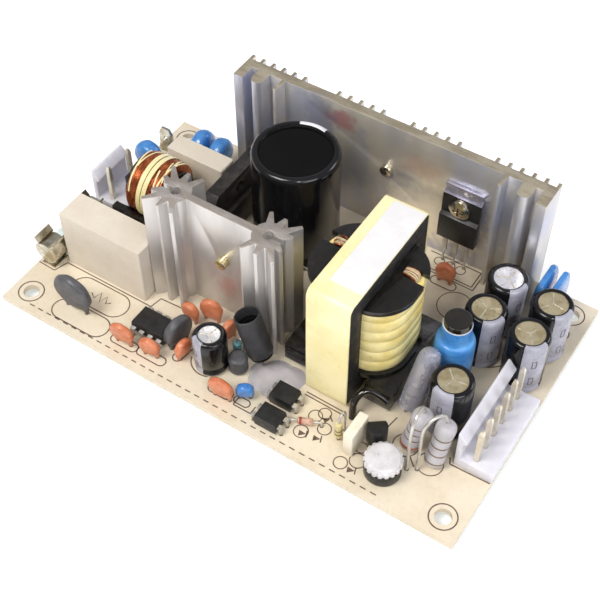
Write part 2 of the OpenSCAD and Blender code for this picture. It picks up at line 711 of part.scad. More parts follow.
// The taped rectangle round the core, seen along X.
module core_outline(grow)
    translate([0, (core_foot + core_top) / 2])
        round_rect([core_l - 2 * tape_t + 2 * grow, core_h - 2 * tape_t + 2 * grow], 1.6 + grow);
module across_trafo(depth)
    on_trafo() rotate([90, 0, 90]) linear_extrude(depth, center = true) children();
leg_w = 10;
module transformer_core() color([0.2, 0.19, 0.19])
    across_trafo(core_t)
        difference() {
            core_outline(0);
            for (s = [-1, 1])
                translate([s * (window_half + leg_w / 2) / 2, (window_low + window_high) / 2])
                    square([window_half - leg_w / 2, window_high - window_low], center = true);
        }
module transformer_tape() color([0.95, 0.9, 0.72])
    across_trafo(core_t + 0.2)
        difference() {
            core_outline(tape_t);
            core_outline(0);
        }
tube_wall = 1;
bobbin_gap = 0.2;
coil_half_y = window_half - 1;
module trafo_tube(h, grow)
    translate([-core_t / 2 - grow, -leg_w / 2 - grow, 0])
        cube([core_t + 2 * grow, leg_w + 2 * grow, h]);
module transformer_bobbin() color([0.07, 0.07, 0.07]) {
    low = window_low + bobbin_gap;
    high = window_high - bobbin_gap;
    on_trafo()
        difference() {
            union() {
                translate([0, 0, high - flange_t]) linear_extrude(flange_t) flange_outline();
                translate([0, 0, low]) linear_extrude(flange_t) flange_outline();
                translate([0, 0, low]) trafo_tube(high - low, tube_wall);
                for (s = [-1, 1]) {
                    translate([s * trafo_rail_x - 3.4, -12.6, 0.8])
                        cube([6.8, 25.2, low - 0.8]);
                    translate([s * trafo_rail_x - 2.6, -13.4, 2.4]) cube([5.2, 26.8, 2.6]);
                }
            }
            translate([0, 0, low - 1]) trafo_tube(high - low + 2, 0);
            for (p = trafo_pins_at)
                translate([p[0] - trafo_at[0], p[1] - trafo_at[1], 0]) cylinder(d = wire_d, h = 4);
        }
}
// Flange between the core's outer legs, notched where the wires leave.
module flange_outline()
    difference() {
        round_rect([flange_w, 2 * window_half - 2 * bobbin_gap], 9.5);
        for (s = [-1, 1])
            translate([s * flange_w / 2, 3.2]) square([5.6, 3.4], center = true);
    }
module transformer_coil() color([0.95, 0.9, 0.7]) {
    low = window_low + bobbin_gap + flange_t;
    high = window_high - bobbin_gap - flange_t;
    layer = (high - low) / 5;
    on_trafo(low)
        difference() {
            for (i = [0:4])
                translate([0, 0, i * layer]) linear_extrude(layer)
                    round_rect([coil_w - (i % 2) * 0.5, 2 * coil_half_y - (i % 2) * 0.5], 8.5);
            translate([0, 0, -1]) trafo_tube(high - low + 2, tube_wall);
        }
}
module transformer_label() color([0.97, 0.97, 0.97])
    on_trafo(core_top)
        translate([-core_t / 2 + 2.6, -core_l / 2 + 5.2, 0]) cube([core_t - 2.6, core_l - 7, 0.12]);
module transformer_pins() color([0.8, 0.8, 0.78]) wires(trafo_pins_at, 4);

// ---- Output side ----

module output_capacitors() color([0.8, 0.77, 0.68]) {
    r = out_cap_d / 2 - sleeve_t;
    for (c = out_cap_at)
        on_board(c)
            rotate_extrude()
                polygon([[0, 0.4], [r - 0.6, 0.4], [r, 0.9], [r, out_cap_h - 1],
                         [r - 0.3, out_cap_h - 0.4], [r - 0.8, out_cap_h - 0.2],
                         [r - 1.3, out_cap_h - 0.4], [0, out_cap_h - 0.4]]);
    wires(out_cap_wires);
}
module output_capacitor_sleeves() color([0.1, 0.1, 0.12])
    for (c = out_cap_at) on_board(c) can_sleeve(out_cap_d, out_cap_h);
// A shrunk sleeve that turns in over the top and bottom edges of a can.
module can_sleeve(d, h) {
    r = d / 2;
    rotate_extrude()
        polygon([[r - sleeve_t, 0.5], [r, 0.5], [r, h - 1], [r - 0.3, h - 0.3],
                 [r - 0.9, h], [r - 1.5, h], [r - 1.5, h - 0.2], [r - sleeve_t - 0.8, h - 0.2],
                 [r - sleeve_t - 0.3, h - 0.4], [r - sleeve_t, h - 1]]);
}
module output_choke_rod() color([0.2, 0.19, 0.2]) {
    on_board(rod_at, 0.5) cylinder(d = rod_d, h = rod_h - 0.5);
    wires(rod_wires);
}
module output_choke_sleeve() color([0.35, 0.6, 0.85]) {
    shoulder = rod_h - 7.6;
    on_board(rod_at, 0.8)
        rotate_extrude()
            polygon([[rod_d / 2, 0], [choke_d / 2 - 0.4, 0], [choke_d / 2, 0.6],
                     [choke_d / 2, shoulder], [choke_d / 2 - 0.25, shoulder + 0.8],
                     [rod_d / 2 + 0.5, shoulder + 1.8], [rod_d / 2 + 0.3, shoulder + 2.6],
                     [rod_d / 2 + 0.3, rod_h - 2.3], [rod_d / 2, rod_h - 2.3]]);
}

// A body with crimped ends on its own axis, from z = 0 up.
module axial_body(d, length)
    rotate_extrude()
        polygon([[0, 0], [d * 0.32, 0], [d / 2, d * 0.16], [d / 2, d * 0.62],
                 [d * 0.46, d * 0.75], [d * 0.46, length - d * 0.75], [d / 2, length - d * 0.62],
                 [d / 2, length - d * 0.16], [d * 0.32, length], [0, length]]);
// The far wire of a standing part: over the top and down to its own hole.
bend = 0.05;
module hairpin(from, to, top, d) {
    span = norm(to - from);
    turn = atan2(to[1] - from[1], to[0] - from[0]);
    on_board(from, top - span / 2, turn)
        translate([span / 2, 0, 0]) rotate([90, 0, 0])
            rotate_extrude(angle = 180) translate([span / 2, 0]) circle(d = d + bend, $fn = 16);
    wires([to], top - span / 2 + bend, d);
}
module power_resistors() color([0.75, 0.75, 0.77])
    for (r = resistors) {
        lean = r[2];
        side = r[3];
        reach = resistor_l + 0.6;
        head = r[0] + [cos(lean) * sin(side) * reach, sin(lean) * reach];
        head_z = cos(lean) * cos(side) * resistor_l;
        wires([r[0]], 1.2, mid_d);
        on_board(r[0], 0.6) rotate([-lean, side, 0]) axial_body(resistor_d, resistor_l);
        on_board(head, head_z - 1.4) cylinder(d = mid_d, h = 3.4 + bend);
        hairpin(head, r[1], head_z + 2 + norm(r[1] - head) / 2, mid_d);
    }
module standing_resistors() color([0.8, 0.72, 0.6])
    for (a = axials) {
        on_board(a[0], 1) axial_body(a[3], a[2]);
        wires([a[0]], a[2] + 1.6 + bend);
        hairpin(a[0], a[1], a[2] + 1.6 + norm(a[1] - a[0]) / 2, wire_d);
    }
// A resistor in a clear sleeve, leaning back behind the power resistors.
snubber_lean = [-23, 5, 0];
snubber_top = 17.6;
snubber_shift = [0.34, 0.14];
module snubber_resistor() color([0.75, 0.72, 0.66]) {
    span = norm(snubber_wires[1] - snubber_wires[0]);
    turn = atan2(snubber_wires[1][1] - snubber_wires[0][1], snubber_wires[1][0] - snubber_wires[0][0]);
    on_board(snubber_at, 0.8) rotate(snubber_lean) rotate([0, 0, turn]) {
        cylinder(d = wire_d, h = 15 + bend);
        translate([0, 0, 2.8]) axial_body(3.2, 10);
        translate([span, 0, 0]) cylinder(d = wire_d, h = 15 + bend);
        translate([span / 2, 0, 15]) rotate([90, 0, 0])
            rotate_extrude(angle = 180)
                translate([span / 2, 0]) circle(d = wire_d + bend, $fn = 16);
        for (x = [0, span]) translate([x, 0, 0]) sphere(d = wire_d + bend);
    }
    wires(snubber_wires, 0.8);
}
module snubber_sleeve() color([0.7, 0.7, 0.75, 0.6])
    on_board(snubber_at, 0.8) rotate(snubber_lean)
        translate([snubber_shift[0], snubber_shift[1], snubber_top])
            rotate_extrude()
                polygon([[2.4, 1.4 - snubber_top], [2.65, 1.4 - snubber_top], [2.65, -2.4], [2.4, -1.3],
                         [1.6, -0.3], [0.6, 0], [0, 0], [0, -0.25], [0.5, -0.25], [1.4, -0.5],
                         [2.15, -1.4], [2.4, -2.5]]);

// Trimmer: a round base and a rotor that turns in it on a stub shaft.
trimmer_h = 3.4;
module trimmer_base() color([0.16, 0.15, 0.16]) {
    on_board(trimmer_at)
        difference() {
            translate([0, 0, 0.3]) cylinder(d = trimmer_d, h = trimmer_h - 0.3);
            translate([0, 0, 1.2]) cylinder(d = rotor_shaft_d + 2 * rotor_gap, h = trimmer_h);
        }
    wires(trimmer_wires, 0.6);
}
rotor_skirt_d = rotor_d + 0.7;
skirt_turn = 55;
module trimmer_rotor() color([0.88, 0.87, 0.9])
    on_board(trimmer_at, trimmer_h)
        difference() {
            union() {
                translate([0, 0, -trimmer_h + 1.4]) cylinder(d = rotor_shaft_d, h = trimmer_h);
                translate([0, 0, rotor_lift + 0.8]) cylinder(d = rotor_d, h = 1);
                translate([0, 0, rotor_lift + 1.8])
                    rotate_extrude()
                        polygon([[0, 0], [rotor_d / 2, 0], [rotor_d / 2 - 0.5, 0.4], [0, 0.4]]);
                translate([0, 0, rotor_lift])
                    linear_extrude(1.5)
                        difference() {
                            circle(d = rotor_skirt_d);
                            for (a = [0:20:340])
                                rotate(a) translate([rotor_skirt_d / 2 + 0.15, 0])
                                    circle(r = 0.45, $fn = 20);
                        }
            }
            rotate([0, 0, skirt_turn])
                translate([-rotor_skirt_d, 0.6, rotor_lift - 0.1])
                    cube([2 * rotor_skirt_d, rotor_skirt_d, 0.9]);
            translate([-1.4, -0.3, rotor_lift + 1.7]) cube([2.8, 0.6, 2]);
        }

// ---- Small parts ----

module film_capacitor() color([0.93, 0.9, 0.83]) {
    on_board(film_at) soft_box([2.5, 7.2, 7.6], 0.3);
    wires(film_wires);
}
module signal_transistor() color([0.15, 0.15, 0.15]) {
    on_board(to92_at, 2.2, atan2(0.6, 0.8))
        linear_extrude(4.6)
            intersection() {
                circle(d = 4.8);
                translate([-4, -4]) square([8, 5.4]);
            }
    wires(to92_wires, 2.4, 0.5);
}
// A moulded chip body with sloping ends, long along X.
module chip_body(size)
    rotate([90, 0, 90]) linear_extrude(size[0], center = true)
        polygon([[-size[1] / 2 + 0.3, 0], [size[1] / 2 - 0.3, 0], [size[1] / 2, size[2] / 2],
                 [size[1] / 2 - 0.3, size[2]], [-size[1] / 2 + 0.3, size[2]],
                 [-size[1] / 2, size[2] / 2]]);
// One lead of a chip: out of the body's side, then down through the board.
module chip_lead(reach) {
    translate([0, -reach, 2.3]) translate([-0.65, 0, 0]) cube([1.3, reach, 0.3]);
    translate([-0.65, -reach - 0.15, 0.9]) cube([1.3, 0.3, 1.7]);
}
module chip(place, size, turn, pins, places) {
    on_board(place, 0.5, turn) {
        chip_body(size);
        for (i = [0:pins - 1], s = [0, 180])
            rotate([0, 0, s]) translate([(i - (pins - 1) / 2) * 2.54, 0, -0.5]) chip_lead(3.81);
    }
    wires(places, 1, 0.5);
}
module control_chip() color([0.14, 0.14, 0.15])
    chip(control_at, [9.3, 6.2, 3.2], 0, 4, control_wires);
module optocouplers() color([0.15, 0.15, 0.16])
    for (i = [0, 1])
        chip(opto_at[i], [4.6, 6.2, 3.3], 90, 2, [for (j = [0:3]) opto_wires[4 * i + j]]);

small_can_d = 8.2;
small_can_h = 11.4;
module small_capacitor() color([0.8, 0.8, 0.8]) {
    r = small_can_d / 2 - sleeve_t;
    on_board(small_can_at)
        rotate_extrude()
            polygon([[0, 0.4], [r - 0.6, 0.4], [r, 0.9], [r, small_can_h - 1],
                     [r - 0.3, small_can_h - 0.4], [r - 0.8, small_can_h - 0.2],
                     [r - 1.3, small_can_h - 0.4], [0, small_can_h - 0.4]]);
    wires(can_wires);
}
module small_capacitor_sleeve() color([0.1, 0.1, 0.12])
    on_board(small_can_at) can_sleeve(small_can_d, small_can_h);
module drum_choke() color([0.16, 0.16, 0.17]) {
    on_board(drum_at, 0.4)
        rotate_extrude()
            polygon([[0, 0], [2.1, 0], [2.4, 0.4], [2.4, 3.8], [2, 4.4], [0, 4.6]]);
    wires(drum_wires);
}
sleeved_lean = [0, -17, 0];
sleeved_lift = 3.2;
module sleeved_choke() color([0.12, 0.12, 0.12]) {
    on_board(sleeved_at, sleeved_lift) rotate(sleeved_lean) cylinder(d = 5.6, h = 11.6);
    wires(sleeved_wires, sleeved_lift + 1.2);
}
module choke_sleeve() color([0.24, 0.24, 0.25])
    on_board(sleeved_at, sleeved_lift) rotate(sleeved_lean)
        translate([0, 0, 1.2])
            difference() {
                cylinder(d = 6.4, h = 12);
                translate([0, 0, -1]) cylinder(d = 5.6, h = 14);
            }
// A glass diode lying on its wires.
module glass_diode() color([0.7, 0.35, 0.25]) {
    for (d = diodes)
        on_board(d[0], 1.3, d[1])
            rotate([0, 90, 0]) {
                translate([0, 0, -1.9]) axial_body(1.7, 3.8);
                cylinder(d = wire_d, h = 7.6, center = true);
                for (z = [-3.8, 3.8]) translate([0, 0, z]) sphere(d = wire_d + bend);
            }
    wires(diode_wires, 1.3);
}
// Dabs of clear silicone that hold the small parts to the board.
module silicone_beads() color([0.85, 0.85, 0.88, 0.6])
    for (s = silicone)
        intersection() {
            on_board([s[0], s[1]], s[3] - s[2]) sphere(r = s[2]);
            on_board([s[0] - s[2], s[1] - s[2]]) cube([2 * s[2], 2 * s[2], s[2]]);
        }

circuit_board();
rear_heatsink();
front_heatsink();
heatsink_pins();
bulk_capacitor();
front_line_capacitor();
rear_line_capacitor();
fuse_clips();
fuse_tube();
fuse_caps();
fuse_element();
mains_header();
mains_pins();
choke_core();
choke_bobbin();
choke_windings();
choke_tape();
ground_tab();
bridge_rectifier();
inrush_thermistor();
control_chip();
varistor();
transformer_core();
transformer_bobbin();
transformer_coil();
transformer_tape();
transformer_label();
transformer_pins();
output_rectifier();
switch_transistor();
heatsink_screws();
output_capacitors();
output_capacitor_sleeves();
output_choke_rod();
output_choke_sleeve();
output_header();
output_pins();
power_resistors();
snubber_resistor();
snubber_sleeve();
trimmer_base();
trimmer_rotor();
film_capacitor();
signal_transistor();
optocouplers();
ceramic_discs();
blue_capacitors();
small_capacitor();
small_capacitor_sleeve();
drum_choke();
sleeved_choke();
choke_sleeve();
standing_resistors();
glass_diode();
silicone_beads();
solder_joints();
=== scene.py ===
import math
import random

import bmesh
import bpy
from mathutils import Matrix, Vector, noise


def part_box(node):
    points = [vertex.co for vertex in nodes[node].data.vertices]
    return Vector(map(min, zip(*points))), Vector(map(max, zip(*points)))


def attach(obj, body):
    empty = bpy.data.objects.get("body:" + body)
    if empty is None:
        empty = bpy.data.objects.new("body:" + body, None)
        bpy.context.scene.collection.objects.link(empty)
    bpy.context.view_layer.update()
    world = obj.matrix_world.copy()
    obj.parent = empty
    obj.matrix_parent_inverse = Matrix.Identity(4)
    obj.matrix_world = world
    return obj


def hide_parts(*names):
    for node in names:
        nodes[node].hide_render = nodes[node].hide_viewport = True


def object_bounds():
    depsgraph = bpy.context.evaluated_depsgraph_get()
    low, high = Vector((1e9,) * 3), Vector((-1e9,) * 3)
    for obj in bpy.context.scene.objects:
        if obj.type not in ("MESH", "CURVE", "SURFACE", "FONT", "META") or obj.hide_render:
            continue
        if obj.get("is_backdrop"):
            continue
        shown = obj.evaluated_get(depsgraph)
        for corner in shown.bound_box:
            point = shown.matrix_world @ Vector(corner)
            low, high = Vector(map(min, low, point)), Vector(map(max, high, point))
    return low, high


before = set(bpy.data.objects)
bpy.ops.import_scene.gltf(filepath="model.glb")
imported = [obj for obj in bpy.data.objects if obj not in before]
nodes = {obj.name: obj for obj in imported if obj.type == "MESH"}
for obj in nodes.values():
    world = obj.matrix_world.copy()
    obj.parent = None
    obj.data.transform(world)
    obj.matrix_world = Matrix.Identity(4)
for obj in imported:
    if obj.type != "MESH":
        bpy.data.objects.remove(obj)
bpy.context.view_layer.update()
mm = 0.001
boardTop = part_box("circuit_board")[1].z
scene = bpy.context.scene
scene.view_settings.view_transform = "Standard"
print("frame loaded with", len(nodes), "nodes")

# camera, floor and light

cameraLook = {"place": (0.099118, -0.151474, 0.224980), "turn": (0.6836022, 0.0032229, 0.5739901),
              "lens": 69.522}
cameraData = bpy.data.cameras.new("camera")
cameraData.lens = cameraLook["lens"]
cameraData.sensor_width = 36
cameraData.clip_start = 0.01
cameraData.clip_end = 20
cameraObject = bpy.data.objects.new("camera", cameraData)
cameraObject.location = cameraLook["place"]
cameraObject.rotation_euler = cameraLook["turn"]
scene.collection.objects.link(cameraObject)
scene.camera = cameraObject


def tone(red, green, blue):
    # a screen colour from 0 to 255 as linear light
    return tuple(((c / 255) / 12.92 if c < 10.3 else ((c / 255 + 0.055) / 1.055) ** 2.4)
                 for c in (red, green, blue)) + (1,)


def addNode(tree, kind, **settings):
    made = tree.nodes.new("ShaderNode" + kind)
    for name, value in settings.items():
        setattr(made, name, value)
    return made


def mathNode(tree, operation, first, second=None, clamp=False):
    made = addNode(tree, "Math", operation=operation, use_clamp=clamp)
    for socket, value in zip(made.inputs, (first, second)):
        if value is None:
            continue
        if isinstance(value, (int, float)):
            socket.default_value = value
        else:
            tree.links.new(value, socket)
    return made.outputs[0]


def mixColor(tree, factor, first, second, blend="MIX"):
    made = addNode(tree, "Mix", data_type="RGBA", blend_type=blend)
    for socket, value in ((made.inputs[0], factor), (made.inputs[6], first), (made.inputs[7], second)):
        if isinstance(value, (int, float, tuple)):
            socket.default_value = value
        else:
            tree.links.new(value, socket)
    return made.outputs[2]


def mapValue(tree, value, low, high, outLow=0.0, outHigh=1.0, smooth=False):
    made = addNode(tree, "MapRange", interpolation_type="SMOOTHSTEP" if smooth else "LINEAR")
    tree.links.new(value, made.inputs[0])
    for socket, number in zip(made.inputs[1:5], (low, high, outLow, outHigh)):
        if isinstance(number, (int, float)):
            socket.default_value = number
        else:
            tree.links.new(number, socket)
    return made.outputs[0]


def worldLight(settings):
    world = bpy.data.worlds.new("studio")
    scene.world = world
    world.use_nodes = True
    tree = world.node_tree
    tree.nodes.clear()
    path = addNode(tree, "LightPath")
    seen = mathNode(tree, "MAXIMUM", path.outputs["Is Camera Ray"], path.outputs["Is Transmission Ray"])
    soft = addNode(tree, "Background")
    soft.inputs[0].default_value = tone(*settings["tint"])
    soft.inputs[1].default_value = settings["level"]
    white = addNode(tree, "Background")
    white.inputs[0].default_value = (1, 1, 1, 1)
    white.inputs[1].default_value = 1
    either = addNode(tree, "MixShader")
    out = addNode(tree, "OutputWorld")
    tree.links.new(seen, either.inputs[0])
    tree.links.new(soft.outputs[0], either.inputs[1])
    tree.links.new(white.outputs[0], either.inputs[2])
    tree.links.new(either.outputs[0], out.inputs[0])


worldLight({"tint": (250, 250, 255), "level": 0.40})

lamps = {
    "keyLamp": {"place": (-0.16, -0.34, 0.62), "size": 0.30, "power": 3.7, "tint": (255, 251, 244)},
    "sideLamp": {"place": (0.52, -0.22, 0.34), "size": 0.30, "power": 1.3, "tint": (246, 249, 255)},
    "backLamp": {"place": (0.42, 0.46, 0.38), "size": 0.22, "power": 0.9, "tint": (250, 250, 255)},
    "glintLamp": {"place": (0.26, -0.30, 0.44), "size": 0.05, "power": 0.55, "tint": (255, 252, 246)},
}
for lampName, lampLook in lamps.items():
    lampData = bpy.data.lights.new(lampName, "AREA")
    lampData.size = lampLook["size"]
    lampData.energy = lampLook["power"]
    lampData.color = tone(*lampLook["tint"])[:3]
    lamp = bpy.data.objects.new(lampName, lampData)
    lamp.location = lampLook["place"]
    aim = Vector((0, 0, 0.01)) - lamp.location
    lamp.rotation_euler = aim.to_track_quat("-Z", "Y").to_euler()
    scene.collection.objects.link(lamp)


def studioFloor(settings):
    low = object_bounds()[0].z
    half = settings["half"]
    mesh = bpy.data.meshes.new("floor")
    mesh.from_pydata([(-half, -half, low), (half, -half, low), (half, half, low), (-half, half, low)], [],
                     [(0, 1, 2, 3)])
    material = bpy.data.materials.new("floorPaper")
    material.use_nodes = True
    tree = material.node_tree
    shader = tree.nodes["Principled BSDF"]
    shader.inputs["Base Color"].default_value = tone(*settings["color"])
    shader.inputs["Roughness"].default_value = 0.9
    shader.inputs["Specular IOR Level"].default_value = 0.1
    path = addNode(tree, "LightPath")
    seen = mathNode(tree, "MAXIMUM", path.outputs["Is Camera Ray"], path.outputs["Is Glossy Ray"])
    seen = mathNode(tree, "MAXIMUM", seen, path.outputs["Is Transmission Ray"])
    tree.links.new(mathNode(tree, "MULTIPLY", seen, settings["lift"]), shader.inputs["Emission Strength"])
    shader.inputs["Emission Color"].default_value = (1, 1, 1, 1)
    mesh.materials.append(material)
    floor = bpy.data.objects.new("floor", mesh)
    scene.collection.objects.link(floor)
    floor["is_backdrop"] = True


studioFloor({"half": 6, "color": (238, 238, 238), "lift": 0.42})
print("camera, floor and lamps set")

# shared shader groups


def startGroup(name, inputs, outputs):
    group = bpy.data.node_groups.new(name, "ShaderNodeTree")
    for label, kind, value in inputs:
        socket = group.interface.new_socket(name=label, in_out="INPUT", socket_type="NodeSocket" + kind)
        socket.default_value = value
    for label, kind in outputs:
        group.interface.new_socket(name=label, in_out="OUTPUT", socket_type="NodeSocket" + kind)
    source = group.nodes.new("NodeGroupInput")
    target = group.nodes.new("NodeGroupOutput")
    return group, source.outputs, target.inputs


def scaledPlace(tree, scale, stretch=None):
    # the place on the object, in turns of the pattern per millimetre
    place = addNode(tree, "TexCoord").outputs["Object"]
    if stretch is not None:
        pulled = addNode(tree, "VectorMath", operation="MULTIPLY")
        tree.links.new(place, pulled.inputs[0])
        tree.links.new(stretch, pulled.inputs[1])
        place = pulled.outputs[0]
    sized = addNode(tree, "VectorMath", operation="SCALE")
    tree.links.new(place, sized.inputs[0])
    tree.links.new(mathNode(tree, "MULTIPLY", scale, 1000.0), sized.inputs["Scale"])
    return sized.outputs[0]


def noiseValue(tree, vector, detail=4.0, rough=0.55, offset=None):
    if offset is not None:
        moved = addNode(tree, "VectorMath", operation="ADD")
        tree.links.new(vector, moved.inputs[0])
        moved.inputs[1].default_value = offset
        vector = moved.outputs[0]
    made = addNode(tree, "TexNoise")
    made.inputs["Scale"].default_value = 1
    made.inputs["Detail"].default_value = detail
    made.inputs["Roughness"].default_value = rough
    tree.links.new(vector, made.inputs["Vector"])
    return made.outputs[0]


def mottleGroup():
    # soft blotches of a second colour, with finer specks over them
    group, given, out = startGroup("mottle",
                                   [("Color", "Color", (0.5, 0.5, 0.5, 1)),
                                    ("Second", "Color", (0.4, 0.4, 0.4, 1)),
                                              ("Scale", "Float", 0.3), ("Speck", "Float", 0.2),
                                              ("Stretch", "Vector", (1, 1, 1))],
                                   [("Color", "Color"), ("Mask", "Float")])
    place = scaledPlace(group, given["Scale"], given["Stretch"])
    broad = mapValue(group, noiseValue(group, place, 3.0), 0.38, 0.64, smooth=True)
    base = mixColor(group, broad, given["Color"], given["Second"])
    fine = addNode(group, "VectorMath", operation="SCALE")
    group.links.new(place, fine.inputs[0])
    fine.inputs["Scale"].default_value = 9
    specks = mapValue(group, noiseValue(group, fine.outputs[0], 2.0, offset=(7, 3, 1)), 0.5, 0.75)
    amount = mathNode(group, "MULTIPLY", specks, given["Speck"])
    group.links.new(mixColor(group, amount, base, given["Second"], "MULTIPLY"), out["Color"])
    group.links.new(broad, out["Mask"])
    return group


def grainGroup():
    # fine surface relief and the change of polish that goes with it
    group, given, out = startGroup("grain", [("Scale", "Float", 2.0), ("Stretch", "Vector", (1, 1, 1)),
                                             ("Low", "Float", 0.3), ("High", "Float", 0.5)],
                                   [("Height", "Float"), ("Roughness", "Float")])
    place = scaledPlace(group, given["Scale"], given["Stretch"])
    height = noiseValue(group, place, 5.0, 0.6)
    group.links.new(height, out["Height"])
    broad = addNode(group, "VectorMath", operation="SCALE")
    group.links.new(place, broad.inputs[0])
    broad.inputs["Scale"].default_value = 0.22
    patches = noiseValue(group, broad.outputs[0], 3.0, offset=(2, 9, 4))
    group.links.new(mapValue(group, patches, 0.35, 0.65, given["Low"], given["High"]), out["Roughness"])
    return group


def wearGroup():
    # rubbed edges, broken up so that they aren't even
    group, given, out = startGroup("edgeWear", [("Radius", "Float", 0.3), ("Amount", "Float", 0.5)],
                                   [("Mask", "Float")])
    rounded = addNode(group, "Bevel", samples=4)
    group.links.new(mathNode(group, "MULTIPLY", given["Radius"], 0.001), rounded.inputs["Radius"])
    flat = addNode(group, "NewGeometry").outputs["Normal"]
    turn = addNode(group, "VectorMath", operation="DOT_PRODUCT")
    group.links.new(rounded.outputs[0], turn.inputs[0])
    group.links.new(flat, turn.inputs[1])
    edge = mapValue(group, mathNode(group, "SUBTRACT", 1.0, turn.outputs["Value"]), 0.02, 0.22)
    scale = addNode(group, "Value")
    scale.outputs[0].default_value = 0.9
    broken = mapValue(group, noiseValue(group, scaledPlace(group, scale.outputs[0]), 4.0), 0.35, 0.6)
    worn = mathNode(group, "MULTIPLY", edge, broken)
    group.links.new(mathNode(group, "MULTIPLY", worn, given["Amount"], True), out["Mask"])
    return group


def facingGroup():
    # how far a surface faces a direction
    group, given, out = startGroup("facing",
                                   [("Direction", "Vector", (0, 0, 1)), ("From", "Float", 0.5),
                                    ("To", "Float", 0.9)],
                                   [("Mask", "Float")])
    flat = addNode(group, "NewGeometry").outputs["Normal"]
    turn = addNode(group, "VectorMath", operation="DOT_PRODUCT")
    group.links.new(flat, turn.inputs[0])
    group.links.new(given["Direction"], turn.inputs[1])
    group.links.new(mapValue(group, turn.outputs["Value"], given["From"], given["To"], smooth=True),
                    out["Mask"])
    return group


def dustGroup():
    # a thin film of dust on what faces up
    group, given, out = startGroup("dust", [("Amount", "Float", 0.2), ("Scale", "Float", 0.4)],
                                   [("Mask", "Float")])
    up = addNode(group, "Group")
    up.node_tree = bpy.data.node_groups["facing"]
    up.inputs["From"].default_value = 0.2
    patches = mapValue(group, noiseValue(group, scaledPlace(group, given["Scale"]), 6.0, 0.65), 0.42, 0.7)
    film = mathNode(group, "MULTIPLY", up.outputs[0], patches)
    group.links.new(mathNode(group, "MULTIPLY", film, given["Amount"], True), out["Mask"])
    return group


def spotGroup():
    # a soft, uneven patch round one place
    group, given, out = startGroup("spot",
                                   [("Centre", "Vector", (0, 0, 0)), ("Size", "Vector", (0.003, 0.003, 0.003)),
                                            ("Amount", "Float", 0.5)], [("Mask", "Float")])
    place = addNode(group, "TexCoord").outputs["Object"]
    away = addNode(group, "VectorMath", operation="SUBTRACT")
    group.links.new(place, away.inputs[0])
    group.links.new(given["Centre"], away.inputs[1])
    sized = addNode(group, "VectorMath", operation="DIVIDE")
    group.links.new(away.outputs[0], sized.inputs[0])
    group.links.new(given["Size"], sized.inputs[1])
    reach = addNode(group, "VectorMath", operation="LENGTH")
    group.links.new(sized.outputs[0], reach.inputs[0])
    scale = addNode(group, "Value")
    scale.outputs[0].default_value = 0.45
    ragged = mapValue(group, noiseValue(group, scaledPlace(group, scale.outputs[0]), 5.0), 0.3, 0.7, -0.3, 0.3)
    edge = mapValue(group, mathNode(group, "ADD", reach.outputs["Value"], ragged), 1.1, 0.35, smooth=True)
    group.links.new(mathNode(group, "MULTIPLY", edge, given["Amount"], True), out["Mask"])
    return group


groups = {"mottle": mottleGroup(), "grain": grainGroup(), "edgeWear": wearGroup(), "facing": facingGroup()}
groups["dust"] = dustGroup()
groups["spot"] = spotGroup()


def placeGroup(tree, name, **values):
    made = addNode(tree, "Group")
    made.node_tree = groups[name]
    for label, value in values.items():
        made.inputs[label].default_value = value
    return made


def finish(name, color, second=None, scale=0.25, speck=0.2, stretch=(1, 1, 1), rough=(0.35, 0.5), metallic=0.0,
           grain=2.0, grainStretch=None, bump=0.1, depth=0.02, wear=None, dust=0.0, dustColor=(205, 200, 190),
           cut=None, under=None, stainsAndPaintedReflections=(), sheen=None):
    # one procedural surface from the shared groups; plain numbers go straight onto the shader
    material = bpy.data.materials.new(name)
    material.use_nodes = True
    tree = material.node_tree
    shader = tree.nodes["Principled BSDF"]
    second = second or tuple(c * 0.86 for c in color)
    mottle = placeGroup(tree, "mottle", Color=tone(*color), Second=tone(*second), Scale=scale, Speck=speck,
                        Stretch=stretch)
    shade = mottle.outputs["Color"]
    relief = placeGroup(tree, "grain", Scale=grain, Stretch=grainStretch or stretch, Low=rough[0],
                        High=rough[1])
    roughness = relief.outputs["Roughness"]
    for side, direction in ((cut, (0, 0, 1)), (under, (0, 0, -1))):
        if side:
            mask = placeGroup(tree, "facing", Direction=direction, From=0.6, To=0.85).outputs[0]
            other = placeGroup(tree, "mottle", Color=tone(*side["color"]), Second=tone(*side["second"]),
                               Scale=side["scale"], Speck=0.3, Stretch=side.get("stretch", (1, 1, 1)))
            shade = mixColor(tree, mask, shade, other.outputs["Color"])
            roughness = mapValue(tree, mask, 0, 1, roughness, side["rough"])
    # patches of another colour round given places: ink stains, and on the rear plate painted reflections too
    for spot in stainsAndPaintedReflections:
        mask = placeGroup(tree, "spot", Centre=spot["centre"], Size=spot["size"],
                          Amount=spot["amount"]).outputs[0]
        shade = mixColor(tree, mask, shade, tone(*spot["color"]))
    if wear:
        mask = placeGroup(tree, "edgeWear", Radius=wear["radius"], Amount=wear["amount"]).outputs[0]
        shade = mixColor(tree, mask, shade, tone(*wear["color"]))
    if dust:
        mask = placeGroup(tree, "dust", Amount=dust, Scale=0.4).outputs[0]
        shade = mixColor(tree, mask, shade, tone(*dustColor))
        roughness = mapValue(tree, mask, 0, 1, roughness, 0.85)
    tree.links.new(shade, shader.inputs["Base Color"])
    tree.links.new(roughness, shader.inputs["Roughness"])
    shader.inputs["Metallic"].default_value = metallic
    ridge = addNode(tree, "Bump")
    ridge.inputs["Strength"].default_value = bump
    ridge.inputs["Distance"].default_value = depth * mm
    tree.links.new(relief.outputs["Height"], ridge.inputs["Height"])
    tree.links.new(ridge.outputs[0], shader.inputs["Normal"])
    for label, value in (sheen or {}).items():
        shader.inputs[label].default_value = value
    return material


